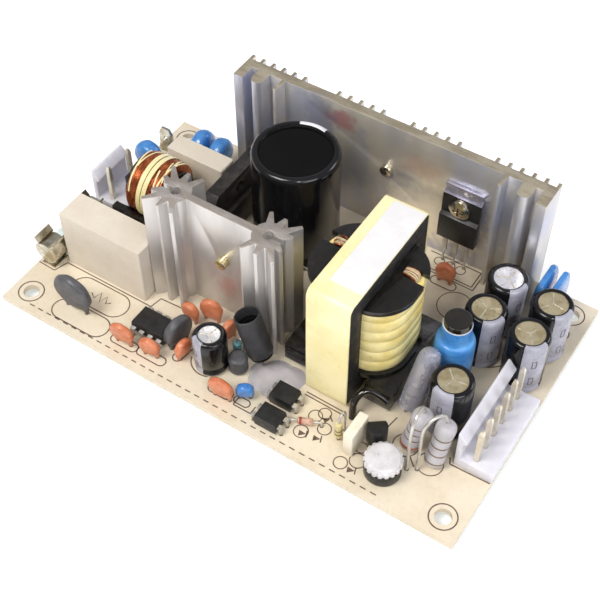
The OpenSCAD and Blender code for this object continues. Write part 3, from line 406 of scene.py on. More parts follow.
def clearFinish(name, color, rough, ior, through=1.0, grain=1.2, bump=0.15, depth=0.05):
    material = finish(name, color, tuple(c * 0.97 for c in color), scale=0.5, speck=0.05, rough=rough,
                      grain=grain, bump=bump, depth=depth)
    shader = material.node_tree.nodes["Principled BSDF"]
    shader.inputs["Transmission Weight"].default_value = through
    shader.inputs["IOR"].default_value = ior
    return material


finishes = {
    "board": finish("boardLaminate", (225, 214, 193), (220, 207, 184), scale=0.10, speck=0.2,
                    rough=(0.42, 0.55), grain=1.6, bump=0.12, depth=0.03,
                    wear={"radius": 0.35, "amount": 0.5, "color": (196, 176, 142)}, dust=0.05,
                    under={"color": (62, 104, 66), "second": (84, 128, 80), "scale": 0.16, "rough": 0.3}),
    "print": finish("printInk", (88, 70, 60), (112, 92, 78), scale=0.8, rough=(0.5, 0.65), bump=0.05),
    # rear plate: its blue-grey and tan blotches are partly painted reflection of the parts around it
    "rearAluminium": finish("rearAluminium", (190, 193, 208), (214, 207, 194), scale=0.05, speck=0.08,
                            stretch=(1, 1, 0.6), rough=(0.3, 0.42), metallic=0.68, grain=2.2,
                            grainStretch=(1, 1, 0.05), bump=0.12, depth=0.015,
                            wear={"radius": 0.25, "amount": 0.5, "color": (235, 232, 228)}, dust=0.05,
                            cut={"color": (186, 177, 158), "second": (164, 154, 134), "scale": 0.5,
                                 "rough": 0.6, "stretch": (0.25, 1, 1)},
                            # the first, red patch is an ink stain; the two blue patches and the pale warm patch
                            # low on the right are painted reflections of the parts and the lit board in front
                            stainsAndPaintedReflections=({"centre": (-0.0094, 0.0339, 0.0317), "size": (0.0056, 0.0022, 0.0034),
                                    "amount": 0.7, "color": (214, 138, 142)},
                                   {"centre": (0.0135, 0.0339, 0.0275), "size": (0.007, 0.0022, 0.004),
                                    "amount": 0.3, "color": (206, 150, 128)},
                                   {"centre": (-0.0155, 0.0339, 0.0300), "size": (0.0060, 0.0022, 0.0090),
                                    "amount": 0.45, "color": (130, 142, 186)},
                                   {"centre": (-0.0035, 0.0339, 0.0220), "size": (0.0034, 0.0022, 0.0130),
                                    "amount": 0.3, "color": (140, 148, 182)},
                                   {"centre": (0.0190, 0.0339, 0.0140), "size": (0.0170, 0.0022, 0.0110),
                                    "amount": 0.75, "color": (252, 243, 224)})),
    "frontAluminium": finish("frontAluminium", (214, 211, 209), (194, 191, 190), scale=0.07, speck=0.1,
                             stretch=(1, 1, 0.25), rough=(0.34, 0.46), metallic=0.78, grain=2.2,
                             grainStretch=(1, 1, 0.03), bump=0.25, depth=0.02,
                             wear={"radius": 0.2, "amount": 0.4, "color": (240, 238, 235)}, dust=0.05,
                             cut={"color": (196, 189, 184), "second": (178, 169, 160), "scale": 0.5,
                                  "rough": 0.5, "stretch": (0.3, 1, 1)},
                             stainsAndPaintedReflections=({"centre": (-0.0128, -0.0113, 0.0109), "size": (0.0036, 0.01, 0.0045),
                                     "amount": 0.45, "color": (212, 150, 142)},)),
    "tinned": finish("tinnedSteel", (206, 204, 200), (188, 185, 178), scale=0.4, speck=0.05, rough=(0.3, 0.4),
                     metallic=0.72, grain=3, bump=0.02, depth=0.01,
                     wear={"radius": 0.1, "amount": 0.4, "color": (232, 230, 226)}),
    "tabMetal": finish("tabMetal", (170, 168, 182), (152, 150, 164), scale=0.8, speck=0.05, rough=(0.26, 0.36),
                       metallic=0.7, grain=3, bump=0.03, depth=0.01,
                       wear={"radius": 0.2, "amount": 0.6, "color": (244, 244, 246)}),
    "nickel": finish("clipNickel", (210, 206, 192), (172, 162, 138), scale=0.35, rough=(0.14, 0.28),
                     metallic=0.95, grain=2.5, bump=0.08, depth=0.02,
                     wear={"radius": 0.12, "amount": 0.5, "color": (236, 232, 222)}),
    "brassTint": finish("platedPins", (224, 218, 204), (212, 204, 184), scale=0.4, speck=0.05,
                        rough=(0.28, 0.38), metallic=0.6, grain=3, bump=0.03, depth=0.01),
    "brass": finish("screwBrass", (226, 212, 168), (196, 172, 112), scale=0.5, rough=(0.14, 0.26),
                    metallic=0.92, grain=3, bump=0.08, depth=0.02),
    "screw": finish("screwSteel", (222, 216, 200), (176, 166, 146), scale=0.5, rough=(0.12, 0.25),
                    metallic=0.97, grain=3, bump=0.1, depth=0.02),
    "solder": finish("solderTin", (196, 198, 202), (160, 162, 166), scale=0.9, rough=(0.2, 0.4), metallic=0.9,
                     grain=2, bump=0.2, depth=0.05),
    "blackSleeve": finish("blackSleeve", (15, 15, 17), (21, 21, 24), scale=0.12, speck=0.1, rough=(0.12, 0.2),
                          grain=0.7, bump=0.10, depth=0.06,
                          wear={"radius": 0.2, "amount": 0.2, "color": (62, 62, 66)},
                          sheen={"Specular IOR Level": 0.42}),
    "capTop": finish("capTop", (9, 9, 10), (14, 13, 13), scale=0.10, rough=(0.10, 0.18), grain=0.4, bump=0.10,
                     depth=0.08, sheen={"Specular IOR Level": 0.16}),
    "stripe": finish("stripeInk", (168, 168, 180), (152, 151, 165), scale=0.3, rough=(0.22, 0.34), grain=0.7,
                     bump=0.12, depth=0.08),
    "stripeMark": finish("stripeMark", (70, 70, 78), (58, 58, 66), scale=0.6, rough=(0.35, 0.45), bump=0.05),
    # white print, also used for the painted highlight ring on the output choke's sleeve
    "whitePrintAndHighlight": finish("whitePrintAndHighlight", (226, 226, 230), (200, 200, 205), scale=0.4, rough=(0.35, 0.5),
                         bump=0.05),
    "lineBox": finish("capacitorBox", (220, 211, 196), (215, 204, 188), scale=0.12, speck=0.12,
                      rough=(0.42, 0.55), grain=3.0, bump=0.14, depth=0.03,
                      wear={"radius": 0.4, "amount": 0.5, "color": (234, 227, 214)}, dust=0.05),
    "ferrite": finish("ferrite", (26, 25, 26), (40, 38, 38), scale=0.5, rough=(0.36, 0.58), grain=2.5, bump=0.2,
                      depth=0.03, wear={"radius": 0.3, "amount": 0.45, "color": (84, 80, 76)}, dust=0.03,
                      sheen={"Specular IOR Level": 0.35}),
    "blackPlastic": finish("bobbinPlastic", (14, 12, 11), (26, 23, 18), scale=0.25, rough=(0.08, 0.2),
                           grain=0.8, bump=0.8, depth=0.35,
                           wear={"radius": 0.3, "amount": 0.3, "color": (72, 66, 54)},
                           sheen={"Specular IOR Level": 0.4, "Coat Weight": 0.35, "Coat Roughness": 0.08}),
    "varnish": finish("blackVarnish", (16, 14, 11), (30, 26, 18), scale=0.3, rough=(0.06, 0.16), grain=0.5,
                      bump=0.4, depth=0.25, sheen={"Coat Weight": 0.6, "Coat Roughness": 0.05}),
    "copper": finish("copperWire", (192, 112, 66), (150, 74, 40), scale=0.5, speck=0.3, stretch=(2.5, 1, 1),
                     rough=(0.2, 0.34), metallic=0.7, grain=2.0, bump=0.15, depth=0.03),
    "yellowTape": finish("yellowTape", (246, 236, 188), (240, 228, 172), scale=0.12, speck=0.12,
                         rough=(0.22, 0.36), grain=0.5, bump=0.18, depth=0.08,
                         wear={"radius": 0.3, "amount": 0.4, "color": (214, 194, 130)}, dust=0.03,
                         dustColor=(226, 214, 176)),
    "coilTape": finish("coilTape", (248, 233, 166), (234, 212, 128), scale=0.16, speck=0.2, rough=(0.12, 0.26),
                       grain=0.5, bump=0.28, depth=0.14, sheen={"Coat Weight": 0.4, "Coat Roughness": 0.08}),
    "package": finish("packageBlack", (24, 24, 25), (34, 34, 35), scale=0.3, rough=(0.32, 0.45), grain=4,
                      bump=0.12, depth=0.02, wear={"radius": 0.2, "amount": 0.35, "color": (84, 84, 86)},
                      dust=0.02, sheen={"Specular IOR Level": 0.38}),
    "bridge": finish("bridgeBlack", (38, 35, 33), (50, 46, 43), scale=0.2, rough=(0.35, 0.5), grain=3,
                     bump=0.15, depth=0.03, wear={"radius": 0.25, "amount": 0.35, "color": (92, 86, 80)},
                     dust=0.05, sheen={"Specular IOR Level": 0.35}),
    "charcoal": finish("charcoalLacquer", (70, 70, 74), (86, 86, 90), scale=0.3, rough=(0.36, 0.5), grain=1.6,
                       bump=0.2, depth=0.05, dust=0.03),
    "sleeveGrey": finish("shrinkSleeve", (50, 50, 53), (60, 60, 63), scale=0.3, rough=(0.4, 0.52), grain=1.2,
                         bump=0.2, depth=0.06, sheen={"Specular IOR Level": 0.35}),
    "paper": finish("labelPaper", (229, 228, 229), (223, 222, 224), scale=0.2, speck=0.06, rough=(0.5, 0.62),
                    grain=2.5, bump=0.08, depth=0.02,
                    wear={"radius": 0.25, "amount": 0.3, "color": (206, 204, 198)}),
    "canMetal": finish("canMetal", (200, 188, 156), (172, 158, 124), scale=0.35, rough=(0.26, 0.4),
                       metallic=0.6, grain=2.5, bump=0.15, depth=0.03),
    "canBright": finish("canBright", (232, 232, 235), (212, 212, 217), scale=0.3, rough=(0.22, 0.36),
                        metallic=0.6, grain=2.5, bump=0.15, depth=0.03),
    "score": finish("scoreGroove", (226, 220, 204), (190, 182, 160), scale=0.8, rough=(0.25, 0.4), metallic=0.6,
                    bump=0.1),
    "blueSleeve": finish("blueSleeve", (92, 160, 222), (66, 136, 208), scale=0.2, rough=(0.2, 0.32), grain=0.8,
                         bump=0.2, depth=0.08),
    "blueCoat": finish("blueLacquer", (74, 140, 208), (54, 116, 190), scale=0.25, rough=(0.18, 0.3), grain=0.9,
                       bump=0.25, depth=0.08, sheen={"Coat Weight": 0.4, "Coat Roughness": 0.15}),
    "orangeCoat": finish("orangeLacquer", (212, 132, 94), (194, 110, 72), scale=0.35, rough=(0.3, 0.42),
                         grain=1.0, bump=0.25, depth=0.07, sheen={"Coat Weight": 0.2, "Coat Roughness": 0.25}),
    "greyLacquer": finish("resistorGrey", (190, 187, 192), (178, 175, 179), scale=0.3, speck=0.1,
                          rough=(0.4, 0.52), grain=1.4, bump=0.2, depth=0.05),
    "bandGold": finish("bandGold", (128, 108, 82), (106, 86, 62), scale=0.6, rough=(0.35, 0.5), bump=0.08),
    "bandOrange": finish("bandOrange", (176, 104, 74), (156, 86, 58), scale=0.6, rough=(0.35, 0.5), bump=0.08),
    "creamLacquer": finish("resistorCream", (226, 215, 168), (208, 194, 140), scale=0.5, rough=(0.28, 0.42),
                           grain=1.4, bump=0.2, depth=0.05),
    "beigeLacquer": finish("resistorBeige", (206, 190, 158), (186, 168, 132), scale=0.4, rough=(0.3, 0.45),
                           grain=1.4, bump=0.2, depth=0.05),
    "teal": finish("tealLacquer", (132, 192, 200), (104, 166, 178), scale=0.5, rough=(0.2, 0.34), grain=1.2,
                   bump=0.2, depth=0.05),
    "filmBox": finish("filmBox", (238, 231, 214), (228, 218, 196), scale=0.2, rough=(0.35, 0.5), grain=2.5,
                      bump=0.1, depth=0.02, wear={"radius": 0.2, "amount": 0.3, "color": (250, 246, 236)}),
    "nylon": finish("headerNylon", (218, 217, 225), (210, 209, 219), scale=0.12, speck=0.05, rough=(0.26, 0.38),
                    grain=1.4, bump=0.12, depth=0.04,
                    wear={"radius": 0.4, "amount": 0.4, "color": (236, 236, 242)},
                    sheen={"Subsurface Weight": 0.5, "Subsurface Radius": (0.0020, 0.0019, 0.0020),
                           "Subsurface Scale": 1.0}),
    "rotor": finish("rotorNylon", (222, 220, 224), (206, 203, 206), scale=0.3, speck=0.1, rough=(0.28, 0.4),
                    grain=1.5, bump=0.12, depth=0.03,
                    wear={"radius": 0.25, "amount": 0.4, "color": (244, 242, 246)},
                    sheen={"Subsurface Weight": 0.2, "Subsurface Radius": (0.0012, 0.001, 0.001),
                           "Subsurface Scale": 1.0}),
    "redBand": finish("diodeRed", (158, 72, 58), (132, 54, 42), scale=0.6, rough=(0.2, 0.3), bump=0.05),
    "orangeGlass": finish("diodeGlass", (206, 170, 148), (176, 128, 104), scale=0.9, rough=(0.08, 0.16),
                          grain=1, bump=0.08, sheen={"Coat Weight": 0.6, "Coat Roughness": 0.06}),
    "glass": clearFinish("fuseGlass", (236, 244, 244), (0.02, 0.06), 1.5, bump=0.03, depth=0.02),
    "clearSleeve": clearFinish("clearSleeve", (226, 227, 240), (0.22, 0.32), 1.22, through=0.8, grain=0.7,
                               bump=0.1, depth=0.05),
    "silicone": clearFinish("siliconeRubber", (232, 232, 241), (0.26, 0.36), 1.18, through=0.8, grain=0.5,
                            bump=0.2, depth=0.1),
}
print("finishes made:", len(finishes))

# mesh helpers


def makePiece(name, mesh, materials, stands=(), body="supply", sharp=38):
    # turns a bmesh into a piece that rides on a body, with smooth faces and sharp corners
    bmesh.ops.recalc_face_normals(mesh, faces=mesh.faces)
    for face in mesh.faces:
        face.smooth = True
    for edge in mesh.edges:
        edge.smooth = not (edge.is_manifold and edge.calc_face_angle(0) > math.radians(sharp))
    data = bpy.data.meshes.new(name)
    mesh.to_mesh(data)
    mesh.free()
    for label in materials:
        data.materials.append(finishes[label])
    piece = bpy.data.objects.new(name, data)
    scene.collection.objects.link(piece)
    if stands:
        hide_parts(*stands)
    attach(piece, body)
    return piece


def nodeMesh(node):
    # the CAD node's own faces, joined up and cleared of edges across flat faces
    mesh = bmesh.new()
    mesh.from_mesh(nodes[node].data)
    bmesh.ops.remove_doubles(mesh, verts=mesh.verts, dist=2e-6)
    bmesh.ops.dissolve_limit(mesh, angle_limit=math.radians(0.6), verts=mesh.verts, edges=mesh.edges)
    for face in mesh.faces:
        face.material_index = 0
    return mesh


def solidsOf(node, reach=1.0):
    # each separate solid in a node: its corners, its points and where its wires go through the board
    mesh = bmesh.new()
    mesh.from_mesh(nodes[node].data)
    bmesh.ops.remove_doubles(mesh, verts=mesh.verts, dist=2e-6)
    mesh.verts.ensure_lookup_table()
    seen, found = set(), []
    for start in mesh.verts:
        if start.index in seen:
            continue
        stack, points = [start], []
        seen.add(start.index)
        while stack:
            vertex = stack.pop()
            points.append(vertex.co.copy())
            for edge in vertex.link_edges:
                other = edge.other_vert(vertex)
                if other.index not in seen:
                    seen.add(other.index)
                    stack.append(other)
        feet = []
        for point in points:
            if point.z < -1.5 * mm:
                for foot in feet:
                    if (foot[0] - point).xy.length < reach * mm:
                        foot.append(point)
                        break
                else:
                    feet.append([point])
        feet = [sum(foot, Vector()) / len(foot) for foot in feet]
        low = Vector(min(p[i] for p in points) for i in range(3))
        high = Vector(max(p[i] for p in points) for i in range(3))
        found.append({"low": low, "high": high,
                      "feet": sorted(feet, key=lambda foot: (round(foot.x, 5), foot.y)), "points": points})
    mesh.free()
    return sorted(found, key=lambda solid: (round(solid["low"].x, 4), solid["low"].y))


def softenEdges(mesh, width, segments=2, angle=28):
    edges = [edge for edge in mesh.edges if edge.is_manifold and edge.calc_face_angle(0) > math.radians(angle)]
    if edges:
        bmesh.ops.bevel(mesh, geom=edges, offset=width * mm, offset_type="OFFSET", segments=segments,
                        profile=0.5, affect="EDGES", clamp_overlap=True)


def softPiece(name, node, labels, width=0.15, split=None, body="supply", segments=2, sharp=38, cuts=()):
    # a CAD solid with its corners eased; cuts part its faces and split gives a face its own finish
    mesh = nodeMesh(node)
    for place, normal in cuts:
        bmesh.ops.bisect_plane(mesh, geom=mesh.verts[:] + mesh.edges[:] + mesh.faces[:], dist=1e-6,
                               plane_co=place, plane_no=normal)
    if split:
        for face in mesh.faces:
            face.material_index = split(face.calc_center_median())
    softenEdges(mesh, width, segments)
    return makePiece(name, mesh, labels, (node,), body, sharp)


def frameAt(place, upward=(0, 0, 1), across=(1, 0, 0)):
    upward = Vector(upward).normalized()
    across = (Vector(across) - upward * Vector(across).dot(upward)).normalized()
    return Matrix.Translation(Vector(place)) @ Matrix((across, upward.cross(across),
                                                       upward)).transposed().to_4x4()


def addLoft(mesh, rings, slotAt=None, caps=(True, True), closed=True):
    made = [[mesh.verts.new(point) for point in ring] for ring in rings]
    count = len(made[0])
    for row in range(len(made) - 1):
        for column in range(count if closed else count - 1):
            after = (column + 1) % count
            face = mesh.faces.new((made[row][column], made[row][after], made[row + 1][after],
                                   made[row + 1][column]))
            face.material_index = slotAt(row, column) if slotAt else 0
    for end, wanted in zip((made[0][::-1], made[-1]), caps):
        if wanted:
            face = mesh.faces.new(end)
            face.material_index = slotAt(-1 if end is made[-1] else -2, 0) if slotAt else 0
    return made


def addLathe(mesh, profile, at, steps=48, slotAt=None, wobble=None, hollow=False):
    # profile points are (radius, height) in mm, turned about the frame's own Z
    # a hollow one joins its last point to its first
    rings = []
    for index, (radius, height) in enumerate(profile):
        ring = []
        for step in range(steps):
            angle = 2 * math.pi * step / steps
            grow = wobble(index, angle, radius, height) if wobble else 0
            reach = max(radius + grow, 0.004)
            ring.append(at @ Vector((reach * math.cos(angle) * mm, reach * math.sin(angle) * mm, height * mm)))
        rings.append(ring)
    made = addLoft(mesh, rings, slotAt, caps=(not hollow, not hollow))
    if hollow:
        for step in range(steps):
            after = (step + 1) % steps
            face = mesh.faces.new((made[-1][step], made[-1][after], made[0][after], made[0][step]))
            face.material_index = slotAt(len(profile) - 1, step) if slotAt else 0
    return made


def smoothPath(points, steps=6):
    points = [Vector(point) for point in points]
    ends = [2 * points[0] - points[1]] + points + [2 * points[-1] - points[-2]]
    path = []
    for index in range(1, len(ends) - 2):
        p0, p1, p2, p3 = ends[index - 1:index + 3]
        for step in range(steps):
            t = step / steps
            bend = (2 * p0 - 5 * p1 + 4 * p2 - p3) * t * t + (3 * p1 - p0 - 3 * p2 + p3) * t ** 3
            path.append(0.5 * ((2 * p1) + (p2 - p0) * t + bend))
    return path + [points[-1]]


def addTube(mesh, points, radius, sides=10, steps=6, slot=0):
    # a round wire along a smooth path; radius in mm, or a function of how far along it is
    path = smoothPath(points, steps) if steps else [Vector(p) for p in points]
    across = None
    rings = []
    for index, point in enumerate(path):
        along = (path[min(index + 1, len(path) - 1)] - path[max(index - 1, 0)]).normalized()
        if across is None:
            across = along.orthogonal().normalized()
        across = (across - along * across.dot(along)).normalized()
        side = along.cross(across)
        reach = (radius(index / (len(path) - 1)) if callable(radius) else radius) * mm
        rings.append([point + reach * (math.cos(a) * across + math.sin(a) * side)
                      for a in (2 * math.pi * step / sides for step in range(sides))])
    addLoft(mesh, rings, lambda row, column: slot)


def roundOutline(width, depth, radius, steps=6):
    points = []
    for corner, (sx, sy) in enumerate(((1, 1), (-1, 1), (-1, -1), (1, -1))):
        for step in range(steps + 1):
            angle = math.pi / 2 * (corner + step / steps)
            points.append((sx * (width / 2 - radius) + radius * math.cos(angle),
                           sy * (depth / 2 - radius) + radius * math.sin(angle)))
    return points


def addWire(mesh, foot, top, radius=0.3, slot=0):
    # a straight wire down through the board
    addTube(mesh, [(foot.x, foot.y, foot.z), (foot.x, foot.y, (foot.z + top) / 2), (foot.x, foot.y, top)],
            radius, 10, 1, slot)


def rippled(seed, size, amount):
    # slow ripples for sleeves and skins
    offset = Vector((seed * 7.3, seed * 3.1, seed * 1.7))
    return lambda index, angle, radius, height: amount * noise.noise(
        Vector((math.cos(angle) * 2.2, math.sin(angle) * 2.2, height / size)) + offset)


# board print: plain outlines and rings, with no lettering

printLook = {
    "line": 0.32,
    "lift": 0.02,
    "holeRing": 3.2,
    "holeX": 58.42,
    "holeY": 33.02,
    "rings": [(33.0, 20.0, 4.5), (21.4, -26.0, 1.6), (25.0, -27.9, 1.6), (22.9, -24.3, 1.5), (20.8, -31.3, 1.7),
              (32.7, -33.5, 1.6), (35.7, -31.0, 1.9), (34.7, -27.6, 1.4), (49.7, -23.0, 3.0),
              (42.7, -21.6, 3.0), (22.7, 31.0, 1.3), (25.7, 31.0, 1.3), (28.7, 31.0, 1.3), (58.4, 26.4, 2.2),
              (-56.0, 31.0, 2.3)],
    "lines": [(-63.3, -24.4, -58.1, -24.6), (-58.1, -24.6, -56.9, -20.8), (-56.9, -20.8, -30.2, -20.8),
              (-30.2, -20.8, -29.6, -17.4), (-29.6, -17.4, -22.0, -17.0), (53.4, -20.6, 63.2, -20.3),
              (53.4, -20.6, 52.6, -19.0), (43.8, -22.6, 47.0, -25.6), (36.7, -20.5, 37.4, -16.2),
              (16.0, -21.4, 27.0, -21.6), (16.0, -22.2, 27.0, -22.4), (19.2, 33.0, 33.6, 33.0),
              (33.6, 33.0, 33.6, 27.6), (19.2, 27.6, 33.6, 27.6), (19.2, 26.8, 34.4, 26.8),
              (34.4, 26.8, 34.4, 33.0), (3.6, -33.6, 8.4, -33.6), (3.6, -33.6, 3.6, -31.4),
              (8.4, -33.6, 8.4, -31.4)],
    "zigzag": [(-45.4, -25.2), (-43.9, -26.2), (-43.2, -23.9), (-41.9, -26.6), (-41.2, -24.2), (-40.2, -26.2),
               (-39.2, -25.3)],
    "capsules": [(-42.9, -25.3, 17.2, 7.4, 0), (-42.6, -32.9, 16.6, 6.2, 0), (-28.7, -33.2, 7.8, 2.6, 0),
                 (-20.8, -32.9, 8.2, 2.6, 0), (-15.1, -27.4, 7.0, 2.4, 84), (-1.0, -32.1, 6.6, 2.8, 0),
                 (4.9, -31.9, 4.2, 2.0, 0), (27.0, 25.0, 7.0, 2.6, 0)],
    "arcs": [(-8.0, -26.0, 4.9, 200, 300), (45.6, 13.6, 6.4, -70, 10), (38.2, 7.4, 5.6, -100, -20)],
    "arrows": [(24.2, -25.4, 50), (24.9, -31.0, 20), (21.4, -31.6, 20), (35.7, -33.9, 20)],
    "dashes": (-56.0, 46.0, -36.3, 1.5, 1.15),
}


def addRibbon(mesh, points, width, height, closed=False):
    points = [Vector((x * mm, y * mm, height)) for x, y in points]
    count = len(points)
    pairs = []
    for index, point in enumerate(points):
        before = points[index - 1] if index or closed else point
        after = points[(index + 1) % count] if index < count - 1 or closed else point
        along = (after - before).normalized()
        side = Vector((-along.y, along.x, 0)) * width / 2 * mm
        pairs.append((mesh.verts.new(point - side), mesh.verts.new(point + side)))
    for index in range(count if closed else count - 1):
        first, second = pairs[index], pairs[(index + 1) % count]
        mesh.faces.new((first[0], second[0], second[1], first[1]))


def circlePoints(x, y, radius, steps=32, start=0.0, end=2 * math.pi):
    return [(x + radius * math.cos(start + (end - start) * i / steps),
             y + radius * math.sin(start + (end - start) * i / steps)) for i in range(steps)]


def turned(points, x, y, angle):
    c, s = math.cos(math.radians(angle)), math.sin(math.radians(angle))
    return [(x + c * px - s * py, y + s * px + c * py) for px, py in points]


def makePrint(look):
    mesh = bmesh.new()
    height = boardTop + look["lift"] * mm
    for x in (-look["holeX"], look["holeX"]):
        for y in (-look["holeY"], look["holeY"]):
            addRibbon(mesh, circlePoints(x, y, look["holeRing"], 48), look["line"], height, True)
    for x, y, radius in look["rings"]:
        addRibbon(mesh, circlePoints(x, y, radius, 28), look["line"] * 0.85, height, True)
    for x1, y1, x2, y2 in look["lines"]:
        addRibbon(mesh, [(x1, y1), (x2, y2)], look["line"], height)
    for x, y, length, width, angle in look["capsules"]:
        addRibbon(mesh, turned(roundOutline(length, width, width / 2 - 0.01, 8), x, y, angle), look["line"],
                  height, True)
    addRibbon(mesh, look["zigzag"], look["line"], height)
    for x, y, radius, start, end in look["arcs"]:
        addRibbon(mesh, circlePoints(x, y, radius, 16, math.radians(start), math.radians(end)), look["line"],
                  height)
    start, end, y, length, gap = look["dashes"]
    for index in range(int((end - start) / (length + gap))):
        x = start + index * (length + gap)
        addRibbon(mesh, [(x, y), (x + length, y)], look["line"], height)
    for x, y, angle in look["arrows"]:
        corners = turned([(-0.9, -0.8), (0.9, 0), (-0.9, 0.8)], x, y, angle)
        mesh.faces.new([mesh.verts.new((px * mm, py * mm, height)) for px, py in corners])
        addRibbon(mesh, turned([(0.95, -0.9), (0.95, 0.9)], x, y, angle), look["line"], height)
    makePiece("boardPrint", mesh, ["print"])


makePrint(printLook)

# nodes whose own shape is right and that only need a finish
plainNodes = {
    "circuit_board": "board", "solder_joints": "solder", "heatsink_pins": "tinned", "output_pins": "brassTint",
    "mains_pins": "brassTint", "ground_tab": "nickel", "front_line_capacitor": "lineBox",
    "rear_line_capacitor": "lineBox", "fuse_clips": "nickel", "fuse_tube": "glass", "fuse_caps": "nickel",
    "fuse_element": "tinned",
}
for node, label in plainNodes.items():
    nodes[node].data.materials[0] = finishes[label]
print("board and its print done")

# heatsinks and what is screwed to them

softPiece("rearHeatsink", "rear_heatsink", ["rearAluminium"], 0.12)
softPiece("frontHeatsink", "front_heatsink", ["frontAluminium"], 0.10)
softPiece("heatsinkScrews", "heatsink_screws", ["screw", "brass"], 0.12,
          lambda place: 1 if place.y < 0 else 0)


def powerPackage(name, node, back, look):
    # black body on a metal tab; back is 1 where the tab's bare face looks along +Y
    low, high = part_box(node)
    foot = high.z - look["height"] * mm
    strip = high.z - look["strip"] * mm
    plane = high.y - look["tab"] * mm if back > 0 else low.y + look["tab"] * mm

    def split(place):
        if place.z < foot:
            return 1
        return 2 if place.z > strip or (place.y - plane) * back > 0 else 0
    softPiece(name, node, ["package", "tinned", "tabMetal"], 0.14, split,
              cuts=(((0, 0, strip), (0, 0, 1)), ((0, plane, 0), (0, 1, 0))))


packageLook = {"height": 16.9, "strip": 2.6, "tab": 1.1}
powerPackage("outputRectifier", "output_rectifier", 1, packageLook)
powerPackage("switchTransistor", "switch_transistor", -1, packageLook)
softPiece("bridgeRectifier", "bridge_rectifier", ["bridge", "tinned"], 0.25,
          lambda place: 1 if place.z < boardTop + 1.1 * mm else 0)
print("heatsinks and power packages done")

# headers and the film capacitor; the tab, line boxes and fuse took plain finishes above

softPiece("outputHeader", "output_header", ["nylon"], 0.28, segments=3)
softPiece("mainsHeader", "mains_header", ["nylon"], 0.28, segments=3)
softPiece("filmCapacitor", "film_capacitor", ["filmBox", "tinned"], 0.1,
          lambda place: 1 if place.z < boardTop - 0.1 * mm else 0)
print("headers, boxes and fuse done")

# chips and the small transistor


def chipSplit(node, half):
    centres = [(solid["low"] + solid["high"]) / 2 for solid in solidsOf(node)]

    def choose(place):
        near = min(centres, key=lambda centre: (centre - place).xy.length)
        inside = abs(place[half[0]] - near[half[0]]) < half[1] * mm and place.z > boardTop + 0.45 * mm
        return 0 if inside else 1
    return choose


softPiece("controlChip", "control_chip", ["package", "tinned"], 0.07,
          chipSplit("control_chip", (1, 3.15)))
softPiece("optocouplers", "optocouplers", ["package", "tinned"], 0.07,
          chipSplit("optocouplers", (0, 3.15)))
softPiece("signalTransistor", "signal_transistor", ["package", "tinned"], 0.12,
          lambda place: 1 if place.z < boardTop + 2.1 * mm else 0)
softPiece("trimmerBase", "trimmer_base", ["package", "tinned"], 0.15,
          lambda place: 1 if place.z < boardTop + 0.2 * mm else 0)
softPiece("trimmerRotor", "trimmer_rotor", ["rotor"], 0.1, body="trimmer")
print("chips and trimmer done")

# electrolytic cans


def canProfile(radius, height, bottom=0.4):
    # sleeve turned in over a rolled rim, groove above the foot
    return [(radius - 1.2, bottom), (radius - 0.35, bottom), (radius, bottom + 0.4), (radius, bottom + 1.3),
            (radius - 0.22, bottom + 1.7), (radius - 0.22, bottom + 2.0), (radius, bottom + 2.4),
            (radius, height * 0.55), (radius, height - 1.3), (radius - 0.12, height - 0.75),
            (radius - 0.42, height - 0.28), (radius - 0.8, height - 0.06), (radius - 1.15, height - 0.04),
            (radius - 1.5, height - 0.16), (radius - 1.5, height - 0.9), (radius - 1.5, bottom + 0.3)]


def addCan(mesh, centre, radius, height, face, look, seed, topSlot):
    # slots: 0 sleeve, 1 stripe, 2 mark on the stripe, 3 gold top, 4 bright top, 5 score
    at = frameAt((centre.x, centre.y, boardTop))
    steps = 72
    profile = canProfile(radius, height)

    def slotAt(row, column):
        if row < 0:
            return 0
        angle = (2 * math.pi * (column + 0.5) / steps - face + math.pi) % (2 * math.pi) - math.pi
        if abs(angle) < look["stripe"] and 0 < row < 12:
            return 1
        return 0
    addLathe(mesh, profile, at, steps, slotAt, rippled(seed, 5.0, 0.05), hollow=True)
    top = height - 0.34
    inner = radius - 1.42
    shape = [(inner + 0.1, top - 0.5), (inner + 0.05, top), (inner * 0.6, top + 0.05), (0.0, top + 0.08)]
    addLathe(mesh, shape, at, steps // 2, lambda row, column: topSlot)
    for turn in range(3):
        angle = look["scoreTurn"] + seed * 0.9 + turn * 2 * math.pi / 3
        ahead = Vector((math.cos(angle), math.sin(angle), 0))
        side = Vector((-ahead.y, ahead.x, 0))
        near, far = 0.05, inner * 0.88
        corners = [ahead * near - side * 0.14, ahead * far - side * 0.14, ahead * far + side * 0.14,
                   ahead * near + side * 0.14]
        low = [at @ Vector((c.x * mm, c.y * mm, (top - 0.05) * mm)) for c in corners]
        high = [at @ Vector((c.x * mm * 0.98, c.y * mm * 0.98, (top + 0.13) * mm)) for c in corners]
        addLoft(mesh, [low, high], lambda row, column: 5)
    reach = radius + 0.05
    for fraction in look["marks"]:
        # a small upright outline printed on the stripe
        middle = height * fraction
        wide, tall, line = look["markSize"]
        bars = [(-wide, -wide + line, -tall, tall), (wide - line, wide, -tall, tall),
                (-wide, wide, -tall, -tall + line * radius), (-wide, wide, tall - line * radius, tall)]
        for left, right, below, above in bars:
            rings = [[at @ Vector((reach * math.cos(face + a) * mm, reach * math.sin(face + a) * mm,
                                   (middle + level) * mm))
                      for a in (left, (left + right) / 2, right)] for level in (below, above)]
            addLoft(mesh, rings, lambda row, column: 2, caps=(False, False), closed=False)


canLook = {"stripe": 0.60, "marks": (0.30, 0.66), "markSize": (0.12, 1.25, 0.035), "scoreTurn": 0.5,
           "faces": (-39, -27, -92, -45, -28), "bright": 1}


